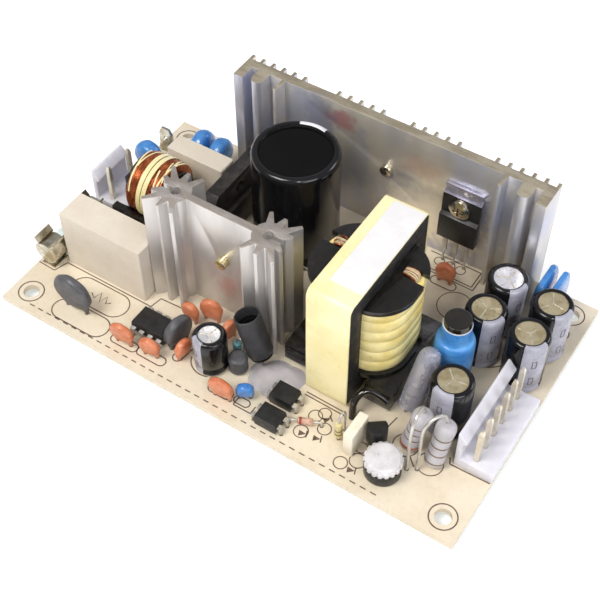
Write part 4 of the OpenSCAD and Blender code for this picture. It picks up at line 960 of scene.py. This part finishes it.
def makeCans(look):
    mesh = bmesh.new()
    for index, solid in enumerate(solidsOf("output_capacitors")):
        centre = sum(solid["feet"], Vector()) / len(solid["feet"])
        height = (solid["high"].z - boardTop) / mm + 0.4
        radius = (solid["high"].x - solid["low"].x) / 2 / mm + 0.25
        addCan(mesh, centre, radius, height, math.radians(look["faces"][index]), look, index,
               4 if index == look["bright"] else 3)
        for foot in solid["feet"]:
            addWire(mesh, foot, boardTop + 0.6 * mm, 0.3, 5)
    makePiece("outputCapacitors", mesh,
              ["blackSleeve", "stripe", "stripeMark", "canMetal", "canBright", "score"],
              ("output_capacitors", "output_capacitor_sleeves"))


makeCans(canLook)


def makeSmallCan(look):
    mesh = bmesh.new()
    solid = solidsOf("small_capacitor")[0]
    centre = sum(solid["feet"], Vector()) / len(solid["feet"])
    height = (solid["high"].z - boardTop) / mm + 0.4
    radius = (solid["high"].x - solid["low"].x) / 2 / mm + 0.25
    addCan(mesh, centre, radius, height, math.radians(look["face"]), look, 6, 4)
    for foot in solid["feet"]:
        addWire(mesh, foot, boardTop + 0.6 * mm, 0.3, 5)
    makePiece("smallCapacitor", mesh, ["blackSleeve", "stripe", "stripeMark", "canMetal", "canBright", "score"],
              ("small_capacitor", "small_capacitor_sleeve"))


makeSmallCan({"face": -112, "stripe": 0.5, "marks": (0.28, 0.62), "markSize": (0.14, 1.0, 0.04),
              "scoreTurn": 0.2})

bulkLook = {"patchFrom": 76, "patchTo": 116, "steps": 120}


def makeBulk(look):
    mesh = bmesh.new()
    low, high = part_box("bulk_capacitor")
    radius = (high.x - low.x) / 2 / mm
    height = (high.z - boardTop) / mm
    centre = (low + high) / 2
    profile = [(0.0, 0.3), (radius - 2, 0.3), (radius - 1.4, 0.02), (radius - 0.5, 0.02), (radius - 0.05, 0.6),
               (radius, 1.6), (radius, 3.4), (radius - 0.28, 4.0), (radius - 0.28, 4.4), (radius, 5.0),
               (radius, height * 0.5), (radius, height - 2.2), (radius - 0.06, height - 1.2),
               (radius - 0.34, height - 0.5), (radius - 0.85, height - 0.08), (radius - 1.35, height - 0.02),
               (radius - 1.75, height - 0.2), (radius - 2.0, height - 0.8), (radius - 2.1, height - 0.98),
               (radius * 0.5, height - 0.92), (0.0, height - 0.9)]

    def slotAt(row, column):
        angle = 360 * (column + 0.5) / look["steps"]
        if 12 < row < 16 and look["patchFrom"] < angle < look["patchTo"]:
            return 1
        return 2 if row >= 17 else 0
    addLathe(mesh, profile, frameAt((centre.x, centre.y, boardTop)), look["steps"], slotAt,
             rippled(3, 9.0, 0.06))
    for foot in solidsOf("bulk_capacitor", 1.9)[0]["feet"]:
        addWire(mesh, foot, boardTop + 1 * mm, 0.7, 3)
    makePiece("bulkCapacitor", mesh, ["blackSleeve", "whitePrintAndHighlight", "capTop", "tinned"],
              ("bulk_capacitor",))


makeBulk(bulkLook)
print("capacitor cans done")

# coated discs and dipped capacitors


def addDisc(mesh, foot, other, top, spread, thick, seed, dip=1.0, coat=0, wire=1, wireRadius=0.3):
    # a lacquered disc with the lacquer running down its two wires
    place = (foot + other) / 2
    across = (other - foot).xy.to_3d().normalized()
    diameter = (other - foot).xy.length / spread
    base = Vector((place.x, place.y, boardTop + 1.2 * mm))
    upward = (top - base).normalized()
    at = frameAt(base, upward, across)
    rings, steps, rows = [], 40, 22
    offset = Vector((seed * 2.7, seed * 5.1, 0))
    for row in range(rows + 1):
        lean = math.pi * row / rows
        ring = []
        for step in range(steps):
            angle = 2 * math.pi * step / steps
            # rows run from one face to the other through the rim
            reach = max(math.sin(lean), 0) ** 0.5
            depth = -math.copysign(abs(math.cos(lean)) ** 0.6, math.cos(lean))
            x, z = reach * math.cos(angle), reach * math.sin(angle)
            bumpiness = 1 + 0.035 * noise.noise(Vector((x * 2.2, depth * 1.5, z * 2.2)) + offset)
            ring.append(at @ Vector((x * diameter / 2 * bumpiness, depth * thick / 2 * mm * bumpiness,
                                     diameter / 2 + z * diameter / 2 * bumpiness)))
        rings.append(ring)
    addLoft(mesh, rings, lambda row, column: coat)
    for end in (foot, other):
        sign = 1 if (end - place).dot(across) > 0 else -1
        start = at @ Vector((sign * diameter * spread / 2, 0, diameter * 0.22))
        stop = Vector((end.x, end.y, boardTop + (1.3 - dip) * mm))
        addTube(mesh, [start, start.lerp(stop, 0.35), start.lerp(stop, 0.7), stop],
                lambda t: thick * 0.40 * (1 - t) + 0.42 * t, 10, 4, coat)
        addWire(mesh, end, stop.z + 0.3 * mm, wireRadius, wire)


def makeDiscs(name, node, labels, spread=0.6, thick=2.2, dip=1.0, only=None, radius=0.3):
    mesh = bmesh.new()
    rest = []
    for index, solid in enumerate(solidsOf(node)):
        if only and not only(solid):
            rest.append(solid)
            continue
        highest = solid["high"].z
        tops = [p for p in solid["points"] if p.z > highest - 0.15 * mm]
        top = sum(tops, Vector()) / len(tops)
        width = thick(solid) if callable(thick) else thick
        addDisc(mesh, solid["feet"][0], solid["feet"][1], top, spread, width, index + 1, dip, 0, 1, radius)
    return mesh, rest, lambda: makePiece(name, mesh, labels, (node,))


makeDiscs("ceramicDiscs", "ceramic_discs", ["orangeCoat", "tinned"])[2]()
makeDiscs("thermistor", "inrush_thermistor", ["charcoal", "tinned"], spread=0.55, thick=3.0,
          radius=0.4)[2]()
makeDiscs("varistor", "varistor", ["charcoal", "tinned"], thick=3.0)[2]()


def makeBlues(look):
    mesh, slabs = makeDiscs("blueCapacitors", "blue_capacitors", ["blueCoat", "tinned"],
                               thick=lambda solid: look["thick" if solid["high"].z > boardTop + 7 * mm
                                                        else "thin"],
                               only=lambda solid: solid["low"].x < look["slabsFrom"])[:2]
    for index, solid in enumerate(slabs):
        body = [p for p in solid["points"] if p.z > boardTop + 2 * mm]
        low = Vector(min(p[i] for p in body) for i in range(3))
        high = Vector(max(p[i] for p in body) for i in range(3))
        centre = (low + high) / 2
        width, depth = (high.x - low.x) / mm, (high.y - low.y) / mm
        foot = boardTop / mm + 0.8
        height = high.z / mm - foot
        rings = []
        for row in range(13):
            t = row / 12
            swell = math.sin(math.pi * min(max(t, 0.0), 1.0)) ** 0.30 if 0 < t < 1 else 0.25
            shape = roundOutline(width * (0.35 + 0.65 * swell), depth * (0.55 + 0.45 * swell),
                                 min(width * (0.35 + 0.65 * swell) * 0.48, 1.1), 5)
            rings.append([Vector((centre.x + x * mm * (1 + 0.03 * noise.noise(Vector((x, y, t * 4 + index)))),
                                  centre.y + y * mm, (foot + height * t) * mm)) for x, y in shape])
        addLoft(mesh, rings)
        for end in solid["feet"]:
            addTube(mesh, [(end.x, end.y, (foot + 2.5) * mm), (end.x, end.y, (foot + 0.8) * mm),
                           (end.x, end.y, (foot - 0.4) * mm)], lambda t: 0.95 - 0.5 * t, 10, 4)
            addWire(mesh, end, (foot - 0.2) * mm, 0.3, 1)
    makePiece("blueCapacitors", mesh, ["blueCoat", "tinned"], ("blue_capacitors",))


makeBlues({"thick": 4.5, "thin": 2.4, "slabsFrom": 0.03})
print("discs and dipped capacitors done")

# resistors, diodes and their hairpin wires


def axialProfile(diameter, length):
    return [(0.0, 0.0), (diameter * 0.18, 0.02), (diameter * 0.36, diameter * 0.05),
            (diameter * 0.47, diameter * 0.17), (diameter * 0.5, diameter * 0.33),
            (diameter * 0.49, diameter * 0.6), (diameter * 0.465, diameter * 0.78),
            (diameter * 0.46, length * 0.5), (diameter * 0.465, length - diameter * 0.78),
            (diameter * 0.49, length - diameter * 0.6), (diameter * 0.5, length - diameter * 0.33),
            (diameter * 0.47, length - diameter * 0.17), (diameter * 0.36, length - diameter * 0.05),
            (diameter * 0.18, length - 0.02), (0.0, length)]


def addAxial(mesh, at, diameter, length, bands, seed, coat=0):
    # bands are (place along the body, width, slot), painted as thin rings
    profile = axialProfile(diameter, length)
    addLathe(mesh, profile, at, 32, lambda row, column: coat, rippled(seed, 3.0, 0.03))

    def radiusAt(height):
        for (r1, z1), (r2, z2) in zip(profile, profile[1:]):
            if z1 <= height <= z2:
                return r1 + (r2 - r1) * (height - z1) / max(z2 - z1, 1e-6)
        return profile[-1][0]
    for fraction, width, slot in bands:
        heights = [length * fraction - width / 2 + width * i / 4 for i in range(5)]
        rings = []
        for height in heights:
            reach = (radiusAt(height) + 0.035) * mm
            rings.append([at @ Vector((reach * math.cos(a), reach * math.sin(a), height * mm))
                          for a in (2 * math.pi * s / 32 for s in range(32))])
        addLoft(mesh, rings, lambda row, column: slot, caps=(False, False))


def addHairpin(mesh, head, foot, rise, radius, slot):
    # up out of the body, round the bend and down to the far hole
    across = (foot - head).xy.to_3d()
    span = across.length
    peak = head.z + rise * mm
    points = [head - Vector((0, 0, 1.0 * mm)), head + Vector((0, 0, rise * mm * 0.5)),
              Vector((head.x, head.y, peak)) + across * 0.04,
              Vector((head.x, head.y, peak + span * 0.36)) + across * 0.2,
              Vector((head.x, head.y, peak + span * 0.48)) + across * 0.5,
              Vector((foot.x, foot.y, peak + span * 0.34)) - across * 0.2,
              Vector((foot.x, foot.y, peak - span * 0.1)) - across * 0.02,
              Vector((foot.x, foot.y, (peak + boardTop) / 2)), Vector((foot.x, foot.y, boardTop + 1 * mm)),
              Vector((foot.x, foot.y, foot.z))]
    addTube(mesh, points, radius, 10, 5, slot)


resistorLook = {"diameter": 4.8, "length": 13.6, "lean": ((5, 10), (11, 4)), "foot": 0.6,
                "bands": (((0.15, 0.9, 2), (0.36, 0.4, 1), (0.53, 0.4, 1), (0.70, 0.4, 1)),
                          ((0.14, 0.4, 1), (0.33, 0.4, 1), (0.52, 0.4, 1), (0.71, 0.4, 1)))}


def makeResistors(look):
    mesh = bmesh.new()
    for index, solid in enumerate(solidsOf("power_resistors")):
        body = max(solid["feet"], key=lambda foot: foot.y)
        far = min(solid["feet"], key=lambda foot: foot.y)
        lean, side = (math.radians(angle) for angle in look["lean"][index])
        upward = Vector((math.cos(lean) * math.sin(side), math.sin(lean), math.cos(lean) * math.cos(side)))
        base = Vector((body.x, body.y, boardTop + look["foot"] * mm))
        addAxial(mesh, frameAt(base, upward), look["diameter"], look["length"], look["bands"][index], index + 2)
        head = base + upward * look["length"] * mm
        addHairpin(mesh, head, far, 1.4, 0.4, 3)
        addWire(mesh, body, boardTop + 1.2 * mm, 0.4, 3)
    makePiece("powerResistors", mesh, ["greyLacquer", "bandGold", "bandOrange", "tinned"],
              ("power_resistors",))


makeResistors(resistorLook)

# nearest-first: teal bead, tall one behind the heatsink, slim one by the trimmer
standingLook = [{"diameter": 2.2, "length": 3.0, "coat": 2, "bands": ()},
                {"diameter": 3.4, "length": 9.0, "coat": 4, "bands": ((0.85, 0.8, 5),)},
                {"diameter": 1.9, "length": 5.4, "coat": 7, "bands": ((0.3, 0.4, 3), (0.55, 0.4, 3))}]


def makeStanding(look):
    mesh = bmesh.new()
    for settings, solid in zip(look, solidsOf("standing_resistors")):
        edge = solid["low"].x + settings["diameter"] / 2 * mm
        first, last = solid["feet"][0], solid["feet"][-1]
        level = abs(first.x - last.x) < 0.5 * mm
        body = min(solid["feet"], key=lambda foot: abs(foot.x - edge) + (foot.y if level else 0))
        far = max(solid["feet"], key=lambda foot: (foot - body).length)
        base = Vector((body.x, body.y, boardTop + 1 * mm))
        addAxial(mesh, frameAt(base), settings["diameter"], settings["length"], settings["bands"], 5,
                 settings["coat"])
        addHairpin(mesh, base + Vector((0, 0, settings["length"] * mm)), far, 0.6, 0.3, 6)
        addWire(mesh, body, boardTop + 1.2 * mm, 0.3, 6)
    makePiece("standingResistors", mesh,
              ["beigeLacquer", "bandOrange", "teal", "bandGold", "package", "whitePrintAndHighlight", "tinned",
               "creamLacquer"],
              ("standing_resistors",))


makeStanding(standingLook)


def makeDiode():
    mesh = bmesh.new()
    for solid in solidsOf("glass_diode"):
        first, last = solid["feet"]
        along = (last - first).xy.to_3d().normalized()
        middle = (first + last) / 2
        centre = Vector((middle.x, middle.y, boardTop + 1.3 * mm))
        addAxial(mesh, frameAt(centre - along * 1.9 * mm, along, (0, 0, 1)), 1.7, 3.8, ((0.22, 0.6, 1),), 4)
        for foot in (first, last):
            sign = 1 if foot is last else -1
            corner = Vector((foot.x, foot.y, boardTop + 1.3 * mm))
            addTube(mesh, [centre + along * sign * 1.7 * mm, corner - along * sign * 0.5 * mm,
                           corner - Vector((0, 0, 0.5 * mm)), foot], 0.3, 10, 5, 2)
    makePiece("glassDiode", mesh, ["orangeGlass", "redBand", "tinned"], ("glass_diode",))


makeDiode()
print("resistors and diode done")

# transformer

softPiece("transformerCore", "transformer_core", ["ferrite"], 0.3)
softPiece("transformerBobbin", "transformer_bobbin", ["blackPlastic"], 0.3)
for node, label in (("transformer_label", "paper"), ("transformer_pins", "tinned")):
    nodes[node].data.materials[0] = finishes[label]


def makeCoil(look):
    mesh = bmesh.new()
    low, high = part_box("transformer_coil")
    centre = (low + high) / 2
    width, depth, height = ((high[i] - low[i]) / mm for i in range(3))
    rings, rows = [], 60
    for row in range(rows + 1):
        t = row / rows
        ridge = abs(math.sin(math.pi * t * look["ridges"])) ** 0.6
        grow = look["ridge"] * (ridge - 1)
        outline = roundOutline(width + 2 * grow, depth + 2 * grow, look["corner"], 10)
        ring = []
        for x, y in outline:
            wave = 0.14 * noise.noise(Vector((x * 0.25, y * 0.25, t * 9)))
            ring.append(Vector((centre.x + (x + wave * x / 12) * mm, centre.y + (y + wave * y / 8) * mm,
                                low.z + (t * height + 0.22
                                         * noise.noise(Vector((x * 0.12, y * 0.12, t * 3 + 5)))
                                         * math.sin(math.pi * t)) * mm)))
        rings.append(ring)
    addLoft(mesh, rings)
    makePiece("transformerCoil", mesh, ["coilTape"], ("transformer_coil",))


makeCoil({"ridges": 6, "ridge": 0.34, "corner": 8.3})


def makeBand(look):
    # the tape band: a skin with a lapped end and slightly wavy sides
    low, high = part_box("transformer_tape")
    mesh = nodeMesh("transformer_tape")
    softenEdges(mesh, 0.08, 2)
    lap = look["lap"]
    x0, x1 = low.x + 0.15 * mm, high.x - 0.1 * mm
    z0, z1 = low.z + lap[0] * mm, low.z + lap[1] * mm
    y = low.y
    rings = [[Vector((x, y - out * mm, z)) for x,
              z in ((x0, z0), (x1, z0 + 0.4 * mm), (x1, z1), (x0, z1 - 0.3 * mm))] for out in (-0.02, 0.09)]
    addLoft(mesh, rings)
    makePiece("transformerTape", mesh, ["yellowTape"], ("transformer_tape",))


makeBand({"lap": (2.0, 27.0)})


def makeLeads(look):
    # bundles of winding wire that come up through the flange notches
    mesh = bmesh.new()
    low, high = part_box("transformer_coil")
    centre = (low + high) / 2
    flange = high.z
    rng = random.Random(11)
    for side, place in ((1, look["right"]), (-1, look["left"])):
        x, y = centre.x + place[0] * mm, centre.y + place[1] * mm
        for index in range(look["strands"]):
            shift = (index - look["strands"] / 2) * 0.42 * mm
            sway = rng.uniform(-0.3, 0.3) * mm
            points = [(x, y + shift, flange - 1.5 * mm), (x + sway, y + shift, flange + 1.0 * mm),
                      (x - side * 1.4 * mm, y + shift + sway, flange + 1.75 * mm),
                      (x - side * 3.2 * mm, y + shift * 0.8, flange + 1.5 * mm)]
            addTube(mesh, points, 0.2, 8, 5, 0 if index % 3 else 1)
    makePiece("transformerLeads", mesh, ["beigeLacquer", "copper"])


makeLeads({"strands": 7, "right": (10.4, 3.6), "left": (-10.4, 3.2)})
print("transformer done")

# line choke


def makeWindings(look):
    mesh = bmesh.new()
    solids = solidsOf("choke_windings")
    low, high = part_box("choke_windings")
    radius = (high.z - low.z) / 2 / mm
    axis = (low + high) / 2
    for index, solid in enumerate(solids):
        length = (solid["high"].x - solid["low"].x) / mm
        turns = look["turns"]
        pitch = length / turns
        at = frameAt((solid["low"].x, axis.y, axis.z), (1, 0, 0), (0, 0, 1))
        profile = [(look["inner"], 0.0)]
        for turn in range(turns):
            for part in range(7):
                angle = math.pi * (part + 0.5) / 7
                profile.append((radius - pitch / 2 + pitch / 2 * math.sin(angle) - 0.02 * (turn % 2),
                                (turn + 0.5) * pitch - pitch / 2 * math.cos(angle)))
        profile.append((look["inner"], length))
        addLathe(mesh, profile, at, 64, lambda row, column: 0,
                 lambda row, angle, r, z, seed=index: 0.10
                 * noise.noise(Vector((math.cos(angle) * 1.5, math.sin(angle) * 1.5, z * 0.9 + seed * 4)))
                 if r > look["inner"] + 0.5 else 0)
    makePiece("chokeWindings", mesh, ["copper"], ("choke_windings",), sharp=60)


makeWindings({"turns": 7, "inner": 3.8})


def makeChokeTape(look):
    # tape over the middle, with loose strips over each winding
    mesh = bmesh.new()
    low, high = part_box("choke_tape")
    centre = (low + high) / 2
    radius = (high.y - low.y) / 2 / mm
    at = frameAt((centre.x, centre.y, high.z - radius * mm), (1, 0, 0), (0, 0, 1))

    def strip(start, end, middle, width, reach, skew=0.0):
        rings = []
        count = 26
        for step in range(count + 1):
            angle = math.radians(start + (end - start) * step / count)
            shift = middle + skew * (step / count - 0.5)
            ring = []
            for across, out in ((-width / 2, 0), (-width / 2, 0.09), (width / 2, 0.09), (width / 2, 0)):
                r = (reach + out + 0.05 * noise.noise(Vector((step * 0.35, across, middle)))) * mm
                ring.append(at @ Vector((r * math.cos(angle), r * math.sin(angle), (across + shift) * mm)))
            rings.append(ring)
        addLoft(mesh, rings)
    for settings in look["strips"]:
        strip(*settings)
    makePiece("chokeTape", mesh, ["yellowTape"], ("choke_tape",))


makeChokeTape({"strips": [(-118, 118, -0.75, 1.25, 8.42, 0.2), (-118, 118, 0.8, 1.3, 8.42, -0.2),
                          (-96, -4, 3.2, 0.5, 8.12, 2.2), (-60, 60, 4.2, 0.45, 8.12, -1.6),
                          (10, 90, 3.0, 0.45, 8.12, 1.8), (-80, 20, -3.2, 0.4, 8.12, -1.8),
                          (-30, 70, -4.3, 0.4, 8.12, 1.0), (-112, -40, -3.9, 0.6, 8.12, 1.2),
                          (-108, -60, 4.2, 0.7, 8.12, -0.8), (-118, -84, -4.4, 0.9, 8.14, 0.5),
                          (-20, 30, 3.8, 0.35, 8.14, 1.4)]})


def makeChokeBobbin(look):
    # the end cheeks sit inside the winding's ends
    low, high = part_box("choke_windings")
    axis = (low + high) / 2
    mesh = nodeMesh("choke_bobbin")
    for face in mesh.faces:
        face.material_index = 1 if face.calc_center_median().z < boardTop - 0.1 * mm else 0
    for vertex in mesh.verts:
        y, z = vertex.co.y - axis.y, vertex.co.z - axis.z
        reach = math.hypot(y, z)
        if reach > look["from"] * mm and z > look["above"] * mm:
            vertex.co.y = axis.y + y * look["cheek"] * mm / reach
            vertex.co.z = axis.z + z * look["cheek"] * mm / reach
    softenEdges(mesh, 0.15)
    makePiece("chokeBobbin", mesh, ["blackPlastic", "tinned"], ("choke_bobbin",))


makeChokeBobbin({"from": 6.6, "above": -4.2, "cheek": 6.4})
softPiece("chokeCore", "choke_core", ["ferrite"], 0.2)
print("line choke done")

# output choke, small chokes, snubber and silicone


def makeOutputChoke(look):
    mesh = bmesh.new()
    rodLow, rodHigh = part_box("output_choke_rod")
    low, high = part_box("output_choke_sleeve")
    centre = (low + high) / 2
    at = frameAt((centre.x, centre.y, 0))
    rod = (rodHigh.x - rodLow.x) / 2 / mm - look["slim"]
    top = rodHigh.z / mm
    addLathe(mesh, [(0, boardTop / mm + 0.5), (rod, boardTop / mm + 0.5), (rod, top - 0.5),
                    (rod - 0.12, top - 0.15), (rod - 0.45, top), (rod - 0.8, top - 0.04), (0.0, top - 0.1)],
             at, 48, lambda row, column: 0)
    radius = (high.x - low.x) / 2 / mm
    foot = low.z / mm
    shoulder = top - look["shoulder"]
    profile = [(rod, foot), (radius - 0.5, foot), (radius - 0.1, foot + 0.5)]
    turns = look["turns"]
    for turn in range(turns):
        z = foot + 0.7 + (shoulder - foot - 2.2) * turn / turns
        step = (shoulder - foot - 2.2) / turns
        profile += [(radius - 0.16, z), (radius - 0.04, z + step * 0.35), (radius - 0.04, z + step * 0.65)]
    profile += [(radius - 0.1, shoulder - 1.4)]
    for step in range(7):
        angle = math.pi / 2 * step / 6
        profile.append((rod + 0.75 + (radius - rod - 0.85) * math.cos(angle),
                        shoulder - 0.9 + 2.0 * math.sin(angle)))
    profile += [(rod + 0.42, shoulder + 1.5), (rod + 0.26, shoulder + 2.3), (rod + 0.22, top - 2.6),
                (rod + 0.2, top - 1.9), (rod + 0.02, top - 1.85)]
    addLathe(mesh, profile, at, 64, lambda row, column: 1, rippled(8, 3.0, 0.06), hollow=True)
    # the sleeve's pale end, painted white as the highlight it catches, using the white print finish
    rim = [(rod + 0.0, top - 1.95), (rod + 0.2, top - 1.9), (rod + 0.18, top - 1.72), (rod + 0.0, top - 1.7)]
    addLathe(mesh, rim, at, 48, lambda row, column: 2, hollow=True)
    for foot in solidsOf("output_choke_rod")[0]["feet"]:
        addWire(mesh, foot, boardTop + 0.8 * mm, 0.3, 3)
    makePiece("outputChoke", mesh, ["varnish", "blueSleeve", "whitePrintAndHighlight", "tinned"],
              ("output_choke_rod", "output_choke_sleeve"))


makeOutputChoke({"shoulder": 7.6, "turns": 9, "slim": 0.25})


def makeSleevedChoke(look):
    mesh = bmesh.new()
    solid = solidsOf("sleeved_choke")[0]
    place = sum(solid["feet"], Vector()) / len(solid["feet"]) + Vector((0.3 * mm, 0, 0))
    lean = math.radians(look["lean"])
    upward = Vector((math.sin(lean), 0, math.cos(lean)))
    base = Vector((place.x, place.y, boardTop + look["lift"] * mm))
    at = frameAt(base, upward)
    outer, inner, top = 3.2, 2.82, 13.2
    addLathe(mesh, [(0, 0), (2.5, 0), (2.8, 0.3), (2.8, 10.4), (2.5, 10.8), (1.2, 10.8), (1.0, 10.4),
                    (0, 10.4)], at, 40, lambda row, column: 1)
    sleeve = [(inner, 1.2), (outer - 0.15, 1.2), (outer, 1.5), (outer, 4), (outer, 8), (outer, top - 0.5),
              (outer - 0.05, top - 0.1), (outer - 0.18, top), (inner, top - 0.05), (inner, 10.6)]
    addLathe(mesh, sleeve, at, 56, lambda row, column: 0, rippled(12, 5.0, 0.08), hollow=True)
    for foot in solid["feet"]:
        sign = 1 if foot.x > place.x - 0.3 * mm else -1
        addTube(mesh, [base + upward * 0.8 * mm + Vector((sign * 0.9 * mm, 0, 0)),
                       (foot.x, foot.y, boardTop + 2 * mm), (foot.x, foot.y, boardTop), foot], 0.3, 10, 4, 2)
    makePiece("sleevedChoke", mesh, ["sleeveGrey", "capTop", "tinned"],
              ("sleeved_choke", "choke_sleeve"))


makeSleevedChoke({"lean": -17, "lift": 3.2})


def makeDrum():
    mesh = bmesh.new()
    solid = solidsOf("drum_choke")[0]
    low, high = solid["low"], solid["high"]
    centre = (low + high) / 2
    radius = (high.x - low.x) / 2 / mm
    top = (high.z - boardTop) / mm
    profile = [(0, 0.4), (radius - 0.3, 0.4), (radius, 0.8), (radius, 1.5), (radius - 0.12, 2.0),
               (radius - 0.12, top - 1.5), (radius, top - 1.0), (radius - 0.08, top - 0.5),
               (radius - 0.45, top - 0.12), (radius - 0.9, top), (0, top)]
    addLathe(mesh, profile, frameAt((centre.x, centre.y, boardTop)), 40, lambda row, column: 0,
             rippled(9, 2.0, 0.05))
    for foot in solid["feet"]:
        addWire(mesh, foot, boardTop + 0.6 * mm, 0.3, 1)
    makePiece("drumChoke", mesh, ["charcoal", "tinned"], ("drum_choke",))


makeDrum()


def makeSnubber(look):
    mesh = bmesh.new()
    solid = solidsOf("snubber_resistor")[0]
    first, second = sorted(solid["feet"], key=lambda foot: foot.x)
    turn = Matrix.Rotation(math.radians(look["lean"][1]), 4,
                           "Y") @ Matrix.Rotation(math.radians(look["lean"][0]), 4, "X")
    base = Matrix.Translation((first.x, first.y, boardTop + 0.8 * mm)) @ turn
    across = (second - first).xy.to_3d()
    spin = Matrix.Rotation(math.atan2(across.y, across.x), 4, "Z")
    addAxial(mesh, base @ spin @ Matrix.Translation((0, 0, 2.8 * mm)), 3.2, 10.0,
             ((0.2, 0.6, 1), (0.45, 0.5, 1), (0.7, 0.5, 1)), 7)
    at = base @ spin
    span = across.length
    top = 15 * mm
    points = [Vector((0, 0, 11.5 * mm)), Vector((0, 0, top)), Vector((span * 0.18, 0, top + span * 0.36)),
              Vector((span * 0.5, 0, top + span * 0.5)), Vector((span * 0.82, 0, top + span * 0.36)),
              Vector((span, 0, top)), Vector((span, 0, top * 0.5)), Vector((span, 0, 0.5 * mm))]
    foot = at.inverted() @ second
    addTube(mesh, [at @ p for p in points] + [Vector((second.x, second.y, boardTop)), second], 0.3, 10, 4, 2)
    addTube(mesh, [at @ Vector((0, 0, 3 * mm)), at @ Vector((0, 0, 0.3 * mm)), first + Vector((0, 0, 2 * mm)),
                   first], 0.3, 10, 4, 2)
    makePiece("snubberResistor", mesh, ["beigeLacquer", "bandGold", "tinned"],
              ("snubber_resistor",))
    mesh = bmesh.new()
    top = look["top"]
    sleeve = [(2.42, 1.4), (2.78, 1.4), (2.74, 3), (2.76, 8), (2.7, top - 3.4), (2.56, top - 2.0),
              (2.2, top - 1.0), (1.6, top - 0.35), (0.7, top), (0.05, top + 0.02), (0.05, top - 0.28),
              (0.6, top - 0.3), (1.4, top - 0.6), (1.95, top - 1.2), (2.28, top - 2.1), (2.4, top - 3.4),
              (2.44, 8), (2.44, 3)]
    addLathe(mesh, sleeve, base @ Matrix.Translation((look["shift"][0] * mm, look["shift"][1] * mm, 0)), 48,
             lambda row, column: 0, rippled(14, 5.0, 0.12), hollow=True)
    makePiece("snubberSleeve", mesh, ["clearSleeve"], ("snubber_sleeve",))


makeSnubber({"lean": (-23, 5), "top": 17.6, "shift": (0.34, 0.14)})


def makeSilicone(look):
    # one merged mound, its height the smooth level of several dabs
    mesh = bmesh.new()
    steps, grid = look["steps"], {}
    (x0, y0), (x1, y1) = look["low"], look["high"]
    for i in range(steps + 1):
        for j in range(steps + 1):
            x, y = x0 + (x1 - x0) * i / steps, y0 + (y1 - y0) * j / steps
            level = 0.0
            for cx, cy, reach, height in look["dabs"]:
                away = math.hypot(x - cx, y - cy) / reach
                level += height * max(1 - away * away, 0) ** 1.5
            level *= 1 + 0.12 * noise.noise(Vector((x * 0.4, y * 0.4, 3)))
            grid[i, j] = (x, y, min(level, look["crown"] + 0.3 * max(level - look["crown"], 0)))
    made = {}
    for key, (x, y, z) in grid.items():
        near = [grid.get((key[0] + a, key[1] + b), (0, 0, 0))[2] for a in (-1, 0, 1) for b in (-1, 0, 1)]
        if max(near) > 0.02:
            made[key] = (mesh.verts.new((x * mm, y * mm, boardTop + (z + 0.01) * mm)),
                         mesh.verts.new((x * mm, y * mm, boardTop + 0.004 * mm)))
    for i in range(steps):
        for j in range(steps):
            corners = [(i, j), (i + 1, j), (i + 1, j + 1), (i, j + 1)]
            if all(corner in made for corner in corners):
                mesh.faces.new([made[corner][0] for corner in corners])
                mesh.faces.new([made[corner][1] for corner in corners[::-1]])
    rims = [edge for edge in mesh.edges if edge.is_boundary]
    bmesh.ops.bridge_loops(mesh, edges=rims)
    loose = [vertex for vertex in mesh.verts if not vertex.link_faces]
    bmesh.ops.delete(mesh, geom=loose, context="VERTS")
    makePiece("siliconeBeads", mesh, ["silicone"], ("silicone_beads",), sharp=80)


makeSilicone({"steps": 56, "low": (1.0, -28.0), "high": (14.4, -16.2), "crown": 2.2,
              "dabs": [(7.5, -21.3, 4.4, 2.0), (11.0, -20.2, 3.4, 1.6), (5.4, -24.2, 3.4, 1.1),
                       (9.0, -24.4, 3.6, 1.2), (3.6, -22.2, 2.4, 0.7)]})


def makeFootLoop(look):
    # a sleeved lead that comes out of the board and bends over the bobbin's front foot
    mesh = bmesh.new()
    points = [Vector((x * mm, y * mm, boardTop + z * mm)) for x, y, z in look["points"]]
    addTube(mesh, points, look["radius"], 14, 8, 0)
    makePiece("footLoop", mesh, ["varnish"])


makeFootLoop({"radius": 0.85, "points": [(28.7, -21.9, 0.0), (28.4, -21.2, 2.2), (28.3, -20.4, 4.4),
                                         (28.9, -18.9, 6.0), (30.2, -17.4, 6.5), (32.6, -16.7, 5.6),
                                         (34.6, -16.4, 4.4)]})
print("chokes, snubber and silicone done")
